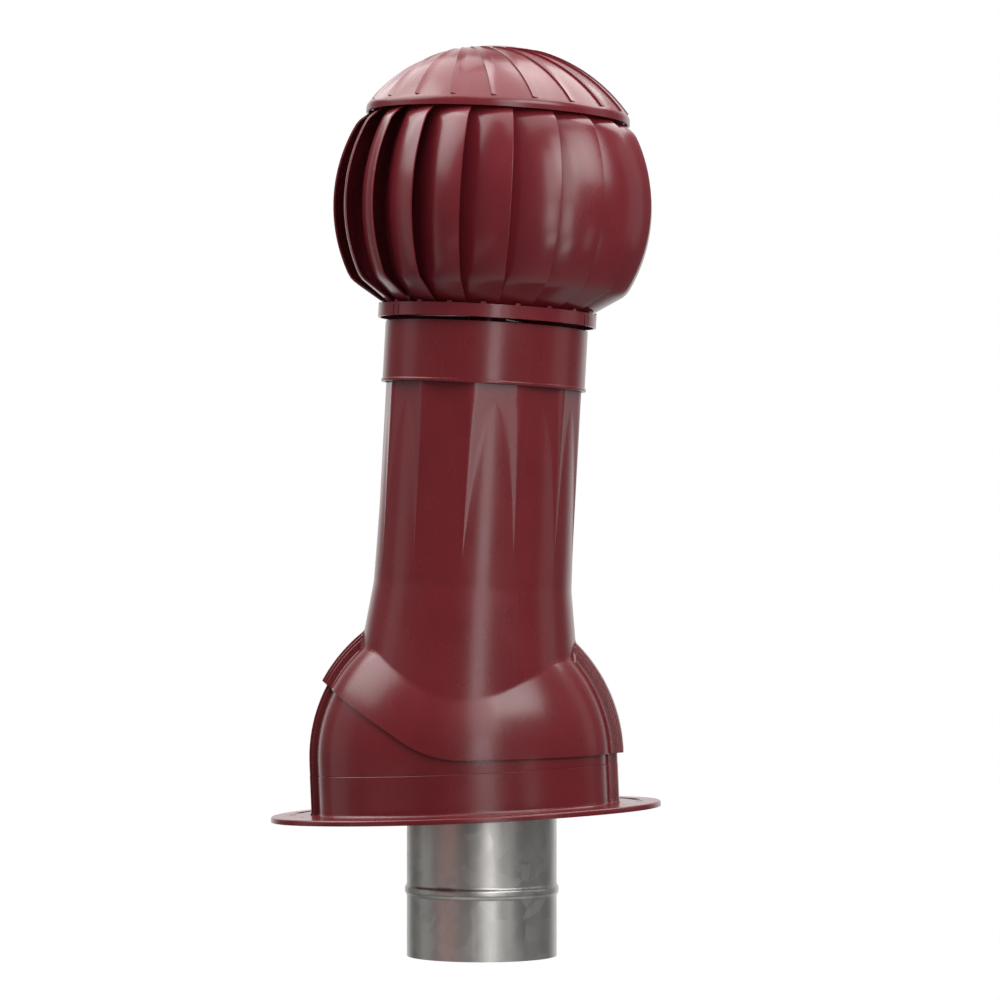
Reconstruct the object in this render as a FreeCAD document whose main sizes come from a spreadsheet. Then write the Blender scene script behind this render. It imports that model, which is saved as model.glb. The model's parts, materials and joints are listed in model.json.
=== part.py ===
"""Roof turbine ventilator on a tilting roof pass-through.

The origin is the middle of the roof flange's underside, +Z points away from the roof
and the stack leans towards +X. Lengths are in millimetres and angles in degrees.
Three frames are used: the flange frame, the stack frame (its origin on the pitch
pivot, its Z along the stack) and the duct frame (its origin where the duct's axis
crosses the stack's, its Z along the duct).
"""
import FreeCAD, Part
import math
import os
from FreeCAD import Placement, Rotation, Vector

# Driving dimensions

DIMENSIONS = {
    # How far cuts run past a face, and pieces of one moulding into each other
    "cut_margin": 1.0,
    # Frames
    "pivot_height": 57.0,
    "stack_lean_angle": 5.6,
    "duct_tilt_angle": 3.1,
    "duct_crossing": 340.0,
    # Roof flange and base shell
    "flange_half_length": 195.5,
    "flange_half_width": 165.0,
    "flange_thickness": 5.5,
    "flange_edge_round": 2.0,
    "shell_wall": 2.5,
    "slot_half_width": 80.0,
    "slot_half_angle": 55.0,
    "end_hole_radius": 4.0,
    "end_hole_inset": 21.5,
    "rim_slot_inset": 17.0,
    "rim_slot_width": 8.0,
    "rim_slot_start": 28.0,
    "rim_slot_run": 44.0,
    "pilot_hole_radius": 1.7,
    "pilot_hole_inset": 36.0,
    "pilot_hole_aside": 46.0,
    "gasket_depth": 2.0,
    "gasket_width": 8.0,
    "gasket_inset": 4.0,
    "gasket_clearance": 0.2,
    # Tilting hood over the base shell
    "hood_radius": 147.5,
    "hood_half_width": 124.6,
    "hood_flat_half": 22.0,
    "shell_gap": 0.8,
    "band_top_rise": 13.0,
    "band_top_half": 12.0,
    "band_mid_rise": 10.5,
    "band_mid_half": 17.0,
    "band_low_rise": 7.5,
    "band_side_gap": 1.0,
    "band_gap": 1.6,
    "hem_corner_x": -25.6,
    "hem_left_angle": 29.75,
    "hem_right_angle": 4.23,
    "hem_round": 108.0,
    # Stack
    "stack_top": 400.0,
    "stack_top_radius": 98.6,
    "stack_kink_radius": 99.2,
    "stack_kink": 171.0,
    "stack_flare_angle": 7.8,
    "panel_count": 12,
    "panel_phase_angle": 11.4,
    "panel_apex": 352.0,
    # Neck collar
    "collar_bottom": 371.0,
    "collar_top": 432.0,
    "collar_wall": 2.7,
    "collar_fit": 0.3,
    "collar_lip_rise": 1.2,
    "collar_lip_height": 3.5,
    "collar_gap_angle": 15.2,
    "collar_gap_phase_angle": -2.8,
    "collar_shoulder": 6.0,
    "collar_shoulder_thickness": 3.0,
    # Duct, its centring ring and its sleeve
    "duct_radius": 75.0,
    "duct_wall": 0.8,
    "duct_bottom": 538.0,
    "duct_seat": 392.5,
    "duct_rim": 7.0,
    "duct_rim_thickness": 1.2,
    "bead_centre": 471.5,
    "bead_height": 10.0,
    "bead_rise": 2.0,
    "ring_bottom": 382.0,
    "ring_lip": 3.0,
    "ring_fit": 0.3,
    "ring_skirt_reach": 70.0,
    "duct_fit": 0.3,
    "sleeve_thickness": 9.5,
    "sleeve_bottom": 172.0,
    "sleeve_headroom": 8.0,
    # Bearing spider and spindle
    "spider_arm_root": 1.0,
    "spider_rim_thickness": 6.0,
    "spider_arm_count": 4,
    "spider_arm_width": 10.0,
    "spider_arm_thickness": 9.0,
    "boss_radius": 14.0,
    "boss_top": 430.0,
    "spindle_radius": 6.0,
    "spindle_fit": 0.05,
    "spindle_shoulder_radius": 8.5,
    "spindle_shoulder_height": 6.0,
    "spindle_tail": 12.0,
    "spindle_head": 14.0,
    "nut_half_flats": 9.5,
    "nut_height": 8.0,
    "washer_radius": 11.5,
    "washer_thickness": 1.5,
    "clip_radius": 8.6,
    "clip_thickness": 1.2,
    # Ball bearings
    "bearing_radius": 14.0,
    "bearing_width": 8.0,
    "race_wall": 1.5,
    "seal_gap": 0.1,
    "seal_inset": 0.5,
    # Rotor
    "rotor_bottom": 435.5,
    "rotor_ring_radius": 109.5,
    "rotor_ring_height": 12.9,
    "rotor_ring_wall": 2.5,
    "rotor_ring_width": 12.0,
    "rotor_hub_radius": 19.0,
    "hub_lip": 2.0,
    "hub_lip_bore": 12.0,
    "spoke_count": 5,
    "spoke_width": 8.0,
    "spoke_thickness": 6.0,
    "groove_pair_count": 6,
    "groove_phase_angle": 7.6,
    "groove_half_pitch_angle": 2.4,
    "groove_width": 1.6,
    "groove_depth": 0.8,
    "tab_phase_angle": 1.0,
    "tab_width": 5.0,
    "tab_height": 2.0,
    "tab_thickness": 2.2,
    "tab_inset": 0.2,
    # Turbine blades
    "blade_count": 20,
    "blade_phase_angle": 9.4,
    "blade_sweep_angle": 26.0,
    "blade_radius": 161.0,
    "blade_centre": 551.6,
    "blade_bend_count": 6,
    "blade_low_angle": 30.04,
    "blade_high_angle": 29.14,
    "blade_foot_inset": 6.3,
    "blade_head_angle": 37.4,
    "blade_head_rise": 12.6,
    "blade_thickness": 2.0,
    "blade_tuck": 33.0,
    "blade_corner_tuck": 27.0,
    "blade_end_tuck": 9.0,
    "blade_belly_share": 0.39,
    "upper_ring_width": 26.0,
    "upper_ring_overhang": 3.0,
    "upper_ring_thickness": 3.0,
    # Cap
    "cap_radius": 165.0,
    "cap_rim_overhang": 8.4,
    "cap_rim_rise": 1.0,
    "cap_rim_height": 6.6,
    "cap_rim_round": 8.0,
    "cap_wall": 2.5,
    "rib_count": 20,
    "rib_phase_angle": -1.4,
    "rib_tangent_radius": 34.0,
    "rib_width": 6.0,
    "rib_rise": 1.6,
    "rib_rim_margin": 4.0,
    "cap_post_count": 5,
    "cap_post_phase_angle": 36.0,
    "cap_post_inset": 20.1,
    "cap_post_radius": 5.0,
    "cap_screw_radius": 2.0,
    "cap_screw_head_radius": 3.8,
    "cap_screw_head": 2.6,
    "cap_screw_length": 16.0,
    "screw_fit": 0.15,
}


class Size:
    """A number from the sheet, with the formula that the sheet works it out by."""

    def __init__(self, value, formula):
        self.value = float(value)
        self.formula = formula

    def __float__(self):
        return self.value

    def __add__(self, other):
        other = as_size(other)
        return Size(self.value + other.value, f"({self.formula} + {other.formula})")

    def __radd__(self, other):
        return as_size(other) + self

    def __sub__(self, other):
        other = as_size(other)
        return Size(self.value - other.value, f"({self.formula} - {other.formula})")

    def __rsub__(self, other):
        return as_size(other) - self

    def __mul__(self, other):
        other = as_size(other)
        return Size(self.value * other.value, f"({self.formula} * {other.formula})")

    def __rmul__(self, other):
        return as_size(other) * self

    def __truediv__(self, other):
        other = as_size(other)
        return Size(self.value / other.value, f"({self.formula} / {other.formula})")

    def __neg__(self):
        return Size(-self.value, f"(0 - {self.formula})")


def as_size(thing):
    """Lets a plain number take part in a formula."""
    if isinstance(thing, Size):
        return thing
    return Size(thing, f"({float(thing)})")


doc = FreeCAD.newDocument("RoofTurbineVentilator")
sheet = doc.addObject("Spreadsheet::Sheet", "dims")
for row, (alias, number) in enumerate(DIMENSIONS.items(), 1):
    sheet.set(f"A{row}", alias)
    sheet.set(f"B{row}", str(number))
    sheet.setAlias(f"B{row}", alias)
doc.recompute()


class Dimensions:
    """Gives each cell of the sheet as an attribute."""

    def __getattr__(self, alias):
        return Size(sheet.get(alias), f"dims.{alias}")


D = Dimensions()


def val(alias):
    """The plain number in a cell, for shapes that are worked out here."""
    return float(sheet.get(alias))


# Frames

Y_AXIS = Vector(0, 1, 0)
Z_AXIS = Vector(0, 0, 1)
FLANGE_FRAME = Placement()
PIVOT_FRAME = Placement(Vector(0, 0, val("pivot_height")), Rotation())
STACK_FRAME = Placement(Vector(0, 0, val("pivot_height")), Rotation(Y_AXIS, val("stack_lean_angle")))
DUCT_IN_STACK = Placement(Vector(0, 0, val("duct_crossing")), Rotation(Y_AXIS, -val("duct_tilt_angle")))
DUCT_FRAME = STACK_FRAME.multiply(DUCT_IN_STACK)

sub_parts = []


# Helpers for bodies with sketches

def new_body(label, frame):
    """An empty body that stands in a frame."""
    body = doc.addObject("PartDesign::Body", label)
    body.Label = label
    body.Placement = frame
    sub_parts.append(body)
    return body


def origin_feature(body, role):
    """A plane or axis of the body's own origin."""
    return next(feature for feature in body.Origin.OriginFeatures if feature.Role == role)


def bind(thing, path, size):
    """Ties one property to the sheet."""
    thing.setExpression(path, as_size(size).formula)


def new_sketch(body, name, plane, offset=None):
    """A sketch on an origin plane of its body, moved by an offset within that plane's frame."""
    sketch = body.newObject("Sketcher::SketchObject", name)
    sketch.AttachmentSupport = [(origin_feature(body, plane), "")]
    sketch.MapMode = "FlatFace"
    if offset is not None:
        sketch.AttachmentOffset = offset
    return sketch


def add_outline(sketch, corners):
    """A closed outline of straight lines, its corners held by their distances to the origin."""
    first = sketch.GeometryCount
    count = len(corners)
    places = [Vector(float(x), float(y), 0) for x, y in corners]
    for index in range(count):
        sketch.addGeometry(Part.LineSegment(places[index], places[(index + 1) % count]), False)
    for index in range(count):
        line = first + index
        following = first + (index + 1) % count
        sketch.addConstraint(join(line, 2, following, 1))
    for index, corner in enumerate(corners):
        for kind, distance in zip(("DistanceX", "DistanceY"), corner):
            hold_point(sketch, kind, first + index, as_size(distance))


def join(line, end, other, start):
    """Ties the end of one line to the start of another."""
    import Sketcher
    return Sketcher.Constraint("Coincident", line, end, other, start)


def hold_point(sketch, kind, line, distance):
    """Holds the start of a line at a distance from the sketch's origin."""
    import Sketcher
    if abs(distance.value) < 1e-9:
        axis = -2 if kind == "DistanceX" else -1
        sketch.addConstraint(Sketcher.Constraint("PointOnObject", line, 1, axis))
        return
    index = sketch.addConstraint(Sketcher.Constraint(kind, -1, 1, line, 1, distance.value))
    sketch.setExpression(f"Constraints[{index}]", distance.formula)


def add_circle(sketch, x, y, radius):
    """A circle held by its centre and radius."""
    import Sketcher
    circle = sketch.addGeometry(Part.Circle(Vector(float(x), float(y), 0), Z_AXIS, float(radius)), False)
    for kind, distance in (("DistanceX", as_size(x)), ("DistanceY", as_size(y))):
        if abs(distance.value) < 1e-9:
            axis = -2 if kind == "DistanceX" else -1
            sketch.addConstraint(Sketcher.Constraint("PointOnObject", circle, 3, axis))
        else:
            index = sketch.addConstraint(Sketcher.Constraint(kind, -1, 1, circle, 3, distance.value))
            sketch.setExpression(f"Constraints[{index}]", distance.formula)
    index = sketch.addConstraint(Sketcher.Constraint("Radius", circle, float(radius)))
    bind(sketch, f"Constraints[{index}]", radius)


def turn(body, name, corners, kind="PartDesign::Revolution", offset=None):
    """Turns an outline of (radius, height) corners about the vertical axis."""
    sketch = new_sketch(body, name + "_outline", "XZ_Plane", offset)
    add_outline(sketch, corners)
    feature = body.newObject(kind, name)
    feature.Profile = sketch
    feature.ReferenceAxis = (sketch, ["V_Axis"])
    feature.Angle = 360
    return feature


def level(height):
    """An offset that lifts a sketch on the ground plane."""
    return Placement(Vector(0, 0, float(height)), Rotation())


def raise_pad(body, name, sketch, length, downwards=False):
    """Pads a sketch."""
    feature = body.newObject("PartDesign::Pad", name)
    feature.Profile = sketch
    bind(feature, "Length", length)
    feature.Reversed = downwards
    return feature


def repeat(body, feature, count, sketch):
    """Repeats a feature round the body's vertical axis."""
    pattern = body.newObject("PartDesign::PolarPattern", feature.Name + "_round")
    pattern.Originals = [feature]
    pattern.Axis = (sketch, ["N_Axis"])
    pattern.Angle = 360
    bind(pattern, "Occurrences", count)
    body.Tip = pattern
    return pattern


def rectangle(x_near, x_far, half_width):
    """Corners of a rectangle that lies along the sketch's X axis."""
    return [(x_near, -half_width), (x_far, -half_width), (x_far, half_width), (x_near, half_width)]


def add_spokes(body, name, count, near, far, width, low, thickness):
    """Straight spokes between a hub and a rim."""
    sketch = new_sketch(body, name + "_outline", "XY_Plane", level(low))
    add_outline(sketch, rectangle(near, far, width / 2))
    spoke = raise_pad(body, name, sketch, thickness)
    repeat(body, spoke, count, sketch)


# Helpers for shapes that a sketch can't hold

def new_feature(label, shape, frame):
    """A sub-part whose shape is worked out here."""
    feature = doc.addObject("Part::Feature", label)
    feature.Label = label
    feature.Shape = shape
    feature.Placement = frame
    sub_parts.append(feature)
    return feature


def spin(shape, degrees):
    """A copy turned about the vertical axis."""
    turned = shape.copy()
    turned.rotate(Vector(), Z_AXIS, degrees)
    return turned


def lathe(corners):
    """A solid turned about the vertical axis from (radius, height) corners."""
    points = [Vector(radius, 0, height) for radius, height in corners]
    face = Part.Face(Part.makePolygon(points + points[:1]))
    return face.revolve(Vector(), Z_AXIS, 360)


def polar(radius, degrees, height):
    """A point from its radius, its angle from the front towards +X and its height."""
    angle = math.radians(degrees - 90)
    return Vector(radius * math.cos(angle), radius * math.sin(angle), height)


# Roof flange, base shell and hood

def shell_steps(shrink, side_gap, radial_gap):
    """Band steps as (half width, radius), shrunk inwards by a wall and by gaps."""
    radius = val("hood_radius") - shrink - radial_gap
    steps = (
        (val("band_top_half"), val("band_top_rise")),
        (val("band_mid_half"), val("band_mid_rise")),
        (val("hood_flat_half"), val("band_low_rise")),
    )
    return [(half - shrink - side_gap, radius + rise) for half, rise in steps]


def half_outline(margin, steps):
    """Edges of an outline in (Y, R): rounded ends, a flat middle and a stepped band on it."""
    flat = val("hood_flat_half")
    radius = val("hood_radius") - margin
    stairs = [Vector(radius, flat, 0)]
    edge_radius = radius
    for half, step_radius in reversed(steps):
        stairs.append(Vector(edge_radius, half, 0))
        edge_radius = step_radius
        stairs.append(Vector(edge_radius, half, 0))
    stairs += [Vector(point.x, -point.y, 0) for point in reversed(stairs)]
    edges = [Part.makeLine(a, b) for a, b in zip(stairs, stairs[1:]) if a.distanceToPoint(b) > 1e-6]
    for side in (-1, 1):
        edges += rounded_end(val("hood_radius"), val("hood_half_width") - flat, margin, flat, side)
    return edges


def rounded_end(length, reach, margin, flat, side):
    """Two tangent arcs, near a quarter of an ellipse, that run at a margin inside its edge."""
    shoulder_round = reach ** 2 / length
    tip_round = length * (length + reach) / (2 * reach)
    shoulder_centre = Vector(length - shoulder_round, 0, 0)
    tip_centre = Vector(0, reach - tip_round, 0)
    way = Vector((length + reach) / length, (length + 2 * reach) / (2 * reach), 0).normalize()
    shoulder_way = (Vector(1, 0, 0) + way).normalize()
    tip_way = (Vector(0, 1, 0) + way).normalize()
    points = [
        Vector(length - margin, 0, 0),
        shoulder_centre + shoulder_way * (shoulder_round - margin),
        shoulder_centre + way * (shoulder_round - margin),
        tip_centre + tip_way * (tip_round - margin),
        Vector(0, reach - margin, 0),
    ]
    placed = [Vector(point.x, side * (flat + point.y), 0) for point in points]
    return [Part.Arc(*placed[:3]).toShape(), Part.Arc(*placed[2:]).toShape()]


def shell_body(margin, steps):
    """The upper half of the round body with its stepped band, turned about the pitch axis."""
    edges = half_outline(margin, steps)
    half_width = val("hood_half_width") - margin
    axis_line = Part.makeLine(Vector(0, half_width, 0), Vector(0, -half_width, 0))
    wire = Part.Wire(Part.__sortEdges__(edges + [axis_line]))
    return Part.Face(wire).revolve(Vector(), Y_AXIS, -180)


def plan_wire(margin, steps):
    """The same outline as a closed plan, mirrored to both sides."""
    one_side = Part.Compound(half_outline(margin, steps))
    other_side = one_side.mirror(Vector(), Vector(1, 0, 0))
    return Part.Wire(Part.__sortEdges__(one_side.Edges + other_side.Edges))


def prism(points, half_width):
    """A prism along the pitch axis from points in (X, Z)."""
    places = [Vector(x, -half_width, z) for x, z in points]
    face = Part.Face(Part.makePolygon(places + places[:1]))
    return face.extrude(Vector(0, 2 * half_width, 0))


def make_base():
    """Roof flange and base shell, one moulding, with the pitch axis at its origin."""
    wall = val("shell_wall")
    pivot = val("pivot_height")
    margin = wall + val("shell_gap")
    outer_steps = shell_steps(wall, val("band_side_gap"), val("band_gap"))[1:]
    inner_steps = [(half - wall, step - wall) for half, step in outer_steps]
    outer = shell_body(margin, outer_steps)
    inner = shell_body(margin + wall, inner_steps)
    dome = outer.cut(inner)
    skirt = Part.Face(plan_wire(margin, outer_steps)).extrude(Vector(0, 0, -pivot))
    cavity = Part.Face(plan_wire(margin + wall, inner_steps)).extrude(Vector(0, 0, -2 * pivot))
    plate = make_plate()
    plate.translate(Vector(0, 0, -pivot))
    walls = skirt.fuse(plate).cut(cavity)
    return walls.fuse(dome).cut(slot_wedge())


def make_plate():
    """The oval flange plate with its holes and its gasket groove."""
    thickness = val("flange_thickness")
    plate = flange_oval(0.0, 0.0, thickness)
    rim = [edge for edge in plate.Edges if edge.BoundBox.ZMin > thickness / 2]
    plate = plate.makeFillet(val("flange_edge_round"), rim)
    for cutter in flange_holes():
        plate = plate.cut(cutter)
    return plate.cut(gasket_groove())


def slot_wedge():
    """The wedge that opens the base shell for the duct to swing in."""
    far = 2 * val("hood_radius")
    angle = math.radians(val("slot_half_angle"))
    side = far * math.sin(angle)
    rise = far * math.cos(angle)
    points = [(0, 0), (side, rise), (side, far), (-side, far), (-side, rise)]
    return prism(points, val("slot_half_width"))


def flange_holes():
    """Screw holes near the flange's ends, with a curved slot behind each and a pilot hole before it."""
    low = -val("flange_thickness")
    deep = 3 * val("flange_thickness")
    end = val("flange_half_length") - val("end_hole_inset")
    pilot = val("flange_half_length") - val("pilot_hole_inset")
    cutters = []
    for side in (-1, 1):
        cutters.append(Part.makeCylinder(val("end_hole_radius"), deep, Vector(side * end, 0, low)))
        pilot_place = Vector(side * pilot, -val("pilot_hole_aside"), low)
        cutters.append(Part.makeCylinder(val("pilot_hole_radius"), deep, pilot_place))
        cutters.append(rim_slot(side, low, deep))
    return cutters


def rim_slot(side, low, deep):
    """A slot with round ends that follows the flange's edge."""
    width = val("rim_slot_width")
    inset = val("rim_slot_inset")
    start = val("rim_slot_start")
    run = val("rim_slot_run")
    length = val("flange_half_length")
    corner = Vector(0 if side > 0 else -length, start, low)
    slot = flange_band(inset, inset + width, low, low + deep).common(Part.makeBox(length, run, deep, corner))
    shoulder_round = val("flange_half_width") ** 2 / length
    middle_round = shoulder_round - inset - width / 2
    ends = []
    for aside in (start, start + run):
        along = length - shoulder_round + math.sqrt(middle_round ** 2 - aside ** 2)
        ends.append(Part.makeCylinder(width / 2, deep, Vector(side * along, aside, low)))
    return slot.fuse(ends)


def flange_oval(margin, low, high):
    """A solid oval that follows the flange's edge at a margin inside it."""
    edges = []
    for side in (-1, 1):
        edges += rounded_end(val("flange_half_length"), val("flange_half_width"), margin, 0.0, side)
    half = Part.Compound(edges)
    whole = half.Edges + half.mirror(Vector(), Vector(1, 0, 0)).Edges
    face = Part.Face(Part.Wire(Part.__sortEdges__(whole)))
    face.translate(Vector(0, 0, low))
    return face.extrude(Vector(0, 0, high - low))


def flange_band(outset, inset, low, high):
    """A band that follows the flange's edge, between two margins inside it."""
    return flange_oval(outset, low, high).cut(flange_oval(inset, low, high))


def gasket_groove():
    """The groove in the flange's underside that the gasket lies in."""
    inset = val("gasket_inset")
    return flange_band(inset, inset + val("gasket_width"), -val("cut_margin"), val("gasket_depth"))


def make_gasket():
    """The foam gasket, flush with the underside of the flange."""
    outset = val("gasket_inset") + val("gasket_clearance")
    inset = val("gasket_inset") + val("gasket_width") - val("gasket_clearance")
    return flange_band(outset, inset, 0.0, val("gasket_depth"))


def hem_prism():
    """All that lies below the hood's lower edge: two straight hems with a round between."""
    left = math.radians(val("hem_left_angle"))
    right = math.radians(val("hem_right_angle"))
    far = 2 * val("hood_radius")
    half_width = 2 * val("hood_half_width")
    corner = Vector(val("hem_corner_x"), -half_width, 0)
    left_way = Vector(-math.cos(left), 0, math.sin(left))
    right_way = Vector(math.cos(right), 0, math.sin(right))
    reach = val("hem_round") * math.tan((left + right) / 2)
    bisector = (left_way + right_way).normalize()
    sagitta = val("hem_round") / math.cos((left + right) / 2) - val("hem_round")
    a = corner + left_way * far
    b = corner + left_way * reach
    middle = corner + bisector * sagitta
    c = corner + right_way * reach
    d = corner + right_way * far
    low_d = Vector(d.x, -half_width, -far)
    low_a = Vector(a.x, -half_width, -far)
    edges = [
        Part.makeLine(a, b),
        Part.Arc(b, middle, c).toShape(),
        Part.makeLine(c, d),
        Part.makeLine(d, low_d),
        Part.makeLine(low_d, low_a),
        Part.makeLine(low_a, a),
    ]
    return Part.Face(Part.Wire(edges)).extrude(Vector(0, 2 * half_width, 0))


def stack_radius(height):
    """Outer radius of the stack below its kink, where it flares."""
    flare = math.tan(math.radians(val("stack_flare_angle")))
    return val("stack_kink_radius") + (val("stack_kink") - height) * flare


def stack_flat_radius():
    """Distance from the stack's axis to the flats of its many-sided top."""
    return val("stack_top_radius") * math.cos(math.pi / val("panel_count"))


def make_outer_stack(foot):
    """The stack's outside: a cone that swells out of a many-sided top, so each flat holds an arch."""
    kink = val("stack_kink")
    top = val("stack_top")
    flat = stack_flat_radius()
    taper = (val("stack_kink_radius") - flat) / (val("panel_apex") - kink)
    cone = lathe([
        (0, foot),
        (stack_radius(foot), foot),
        (val("stack_kink_radius"), kink),
        (flat - (top - val("panel_apex")) * taper, top),
        (0, top),
    ])
    count = int(val("panel_count"))
    first = val("panel_phase_angle") + 180 / count
    corners = [polar(val("stack_top_radius"), first + index * 360 / count, kink) for index in range(count)]
    prism_face = Part.Face(Part.makePolygon(corners + corners[:1]))
    return cone.fuse(prism_face.extrude(Vector(0, 0, top - kink)))


def make_inner_stack(throat):
    """The hollow of the stack."""
    wall = val("shell_wall")
    flat = stack_flat_radius() - wall
    over = val("stack_top") + val("cut_margin")
    return lathe([
        (0, throat),
        (stack_radius(throat) - wall, throat),
        (val("stack_kink_radius") - wall, val("stack_kink")),
        (flat, val("panel_apex")),
        (flat, over),
        (0, over),
    ])


def make_stack_hood():
    """Stack and tilting hood, one moulding."""
    wall = val("shell_wall")
    outer_steps = shell_steps(0.0, 0.0, 0.0)
    inner_steps = shell_steps(wall, 0.0, 0.0)
    foot = val("pivot_height") / 2
    outer_stack = make_outer_stack(foot)
    inner_stack = make_inner_stack(1.2 * foot)
    outer_hood = shell_body(0.0, outer_steps)
    inner_hood = shell_body(wall, inner_steps)
    shape = outer_hood.fuse(outer_stack).cut([inner_hood, inner_stack, hem_prism()])
    return shape.removeSplitter()


# Turbine blades

def blade_levels():
    """Heights of a blade with its outer radius and how far its inner edge tucks in."""
    centre = val("blade_centre")
    radius = val("blade_radius")
    low = centre - radius * math.sin(math.radians(val("blade_low_angle")))
    high = centre + radius * math.sin(math.radians(val("blade_high_angle")))
    foot = val("rotor_bottom") + val("rotor_ring_height")
    foot_radius = val("rotor_ring_radius") - val("blade_foot_inset")
    round_part = []
    bends = int(val("blade_bend_count"))
    for bend in range(bends + 1):
        share = bend / bends
        height = low + share * (high - low)
        rise = height - centre
        bow = 1 - (2 * share - 1) ** 2
        tuck = val("blade_corner_tuck") + bow * (val("blade_tuck") - val("blade_corner_tuck"))
        round_part.append((height, math.sqrt(radius ** 2 - rise ** 2), tuck))
    foot_part = (foot, foot_radius, val("blade_end_tuck"))
    head_part = (blade_head_height(), blade_head_radius(), val("blade_end_tuck"))
    return foot_part, round_part, head_part


def blade_head_height():
    """Height of the blades' heads."""
    rise = val("blade_radius") * math.sin(math.radians(val("blade_high_angle")))
    return val("blade_centre") + rise + val("blade_head_rise")


def blade_head_radius():
    """Radius of the outer edges at the blades' heads."""
    radius = val("blade_radius") * math.cos(math.radians(val("blade_high_angle")))
    return radius - val("blade_head_rise") / math.tan(math.radians(val("blade_head_angle")))


def blade_section(height, radius, tuck):
    """Plan section of a blade: two bowed lines a wall apart, from outer to inner edge."""
    sweep = val("blade_sweep_angle")
    thickness = val("blade_thickness")
    belly = tuck * val("blade_belly_share")
    lines = []
    for inset in (0.0, thickness):
        outer = polar(radius - inset, 0, height)
        middle = polar(radius - belly - inset, -sweep / 2, height)
        inner = polar(radius - tuck - inset, -sweep, height)
        lines.append((outer, middle, inner))
    face_line, back_line = lines
    edges = [
        Part.Arc(*face_line).toShape(),
        Part.makeLine(face_line[2], back_line[2]),
        Part.Arc(back_line[2], back_line[1], back_line[0]).toShape(),
        Part.makeLine(back_line[0], face_line[0]),
    ]
    return Part.Wire(edges)


def make_blade():
    """One turbine blade: a round middle between two straight shoulders."""
    foot_part, round_part, head_part = blade_levels()
    round_wires = [blade_section(*part) for part in round_part]
    foot_wire = blade_section(*foot_part)
    head_wire = blade_section(*head_part)
    middle = Part.makeLoft(round_wires, True, True)
    foot = Part.makeLoft([foot_wire, round_wires[0]], True, True)
    head = Part.makeLoft([round_wires[-1], head_wire], True, True)
    return middle.fuse([foot, head])


# Cap

def cap_rim_radius():
    """Radius of the cap's rim, which overhangs the blades' heads."""
    return blade_head_radius() + val("cap_rim_overhang")


def cap_dome_foot():
    """Height at which the cap's dome meets its rim."""
    return upper_ring_top() + val("cap_rim_rise")


def cap_centre():
    """Height of the dome's centre."""
    return cap_dome_foot() - math.sqrt(val("cap_radius") ** 2 - cap_rim_radius() ** 2)


def make_cap():
    """Domed cap with saw-tooth ribs that swirl towards its top, and posts for its screws."""
    radius = val("cap_radius")
    wall = val("cap_wall")
    over = val("cut_margin")
    centre = Vector(0, 0, cap_centre())
    rim = cap_rim_radius()
    dome_foot = cap_dome_foot()
    rim_foot = dome_foot - val("cap_rim_height")
    above = Part.makeCylinder(2 * rim, radius, Vector(0, 0, dome_foot))
    dome = Part.makeSphere(radius, centre).common(above)
    skirt = Part.makeCylinder(rim, dome_foot - rim_foot, Vector(0, 0, rim_foot))
    plain = dome.fuse(skirt).removeSplitter()
    rim_edge = [edge for edge in plain.Edges if lies_level(edge, rim, dome_foot)]
    solid = plain.makeFillet(val("cap_rim_round"), rim_edge).fuse(cap_ribs(dome_foot))
    inner_radius = radius - wall
    inner_rim = rim - wall
    inner_foot = centre.z + math.sqrt(inner_radius ** 2 - inner_rim ** 2)
    inner_above = Part.makeCylinder(2 * rim, radius, Vector(0, 0, inner_foot))
    inner_dome = Part.makeSphere(inner_radius, centre).common(inner_above)
    inner_skirt = Part.makeCylinder(inner_rim, inner_foot - rim_foot + over, Vector(0, 0, rim_foot - over))
    shell = solid.cut(inner_dome.fuse(inner_skirt)).removeSplitter()
    return add_cap_posts(shell)


def lies_level(edge, radius, height):
    """Whether an edge is the level circle of a radius at a height."""
    box = edge.BoundBox
    return abs(box.ZMin - height) < 1e-3 and abs(box.ZMax - height) < 1e-3 and box.XMax > 0.99 * radius


def cap_ribs(dome_foot):
    """Each rib is a vertical slab cut down to a sphere that leans out of the dome."""
    radius = val("cap_radius")
    centre = cap_centre()
    near = val("rib_tangent_radius") - val("rib_width") / 2
    far = near + val("rib_width")
    shift = rib_shift(radius, near, far, val("rib_rise"))
    lean_radius = math.sqrt(radius ** 2 - 2 * shift * near + shift ** 2)
    reach = math.sqrt(cap_rim_radius() ** 2 - val("rib_tangent_radius") ** 2)
    slab = Part.makeBox(val("rib_width"), reach, radius, Vector(near, 0, dome_foot + val("rib_rim_margin")))
    lean_sphere = Part.makeSphere(lean_radius, Vector(shift, 0, centre))
    rib = slab.common(lean_sphere)
    rib.rotate(Vector(), Z_AXIS, 180)
    step = 360 / val("rib_count")
    return [spin(rib, val("rib_phase_angle") + index * step) for index in range(int(val("rib_count")))]


def rib_shift(radius, near, far, rise):
    """How far the leaning sphere is moved so that it stands proud by the rise at the far side."""
    shift = rise * radius / (far - near)
    for _ in range(20):
        lean = math.sqrt(radius ** 2 - 2 * shift * near + shift ** 2)
        low = math.sqrt(radius ** 2 - 2 * shift * far + shift ** 2)
        shift = shift * rise / (lean - low)
    return shift


def cap_post_places():
    """Angles of the posts under the cap."""
    count = int(val("cap_post_count"))
    return [val("cap_post_phase_angle") + index * 360 / count for index in range(count)]


def cap_post_reach():
    """Distance from the axis to the cap's posts, which stand on the upper ring."""
    return blade_head_radius() + val("upper_ring_overhang") - val("cap_post_inset")


def upper_ring_top():
    """Height of the upper ring's top face, which the posts stand on."""
    return blade_head_height() + val("upper_ring_thickness")


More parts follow.
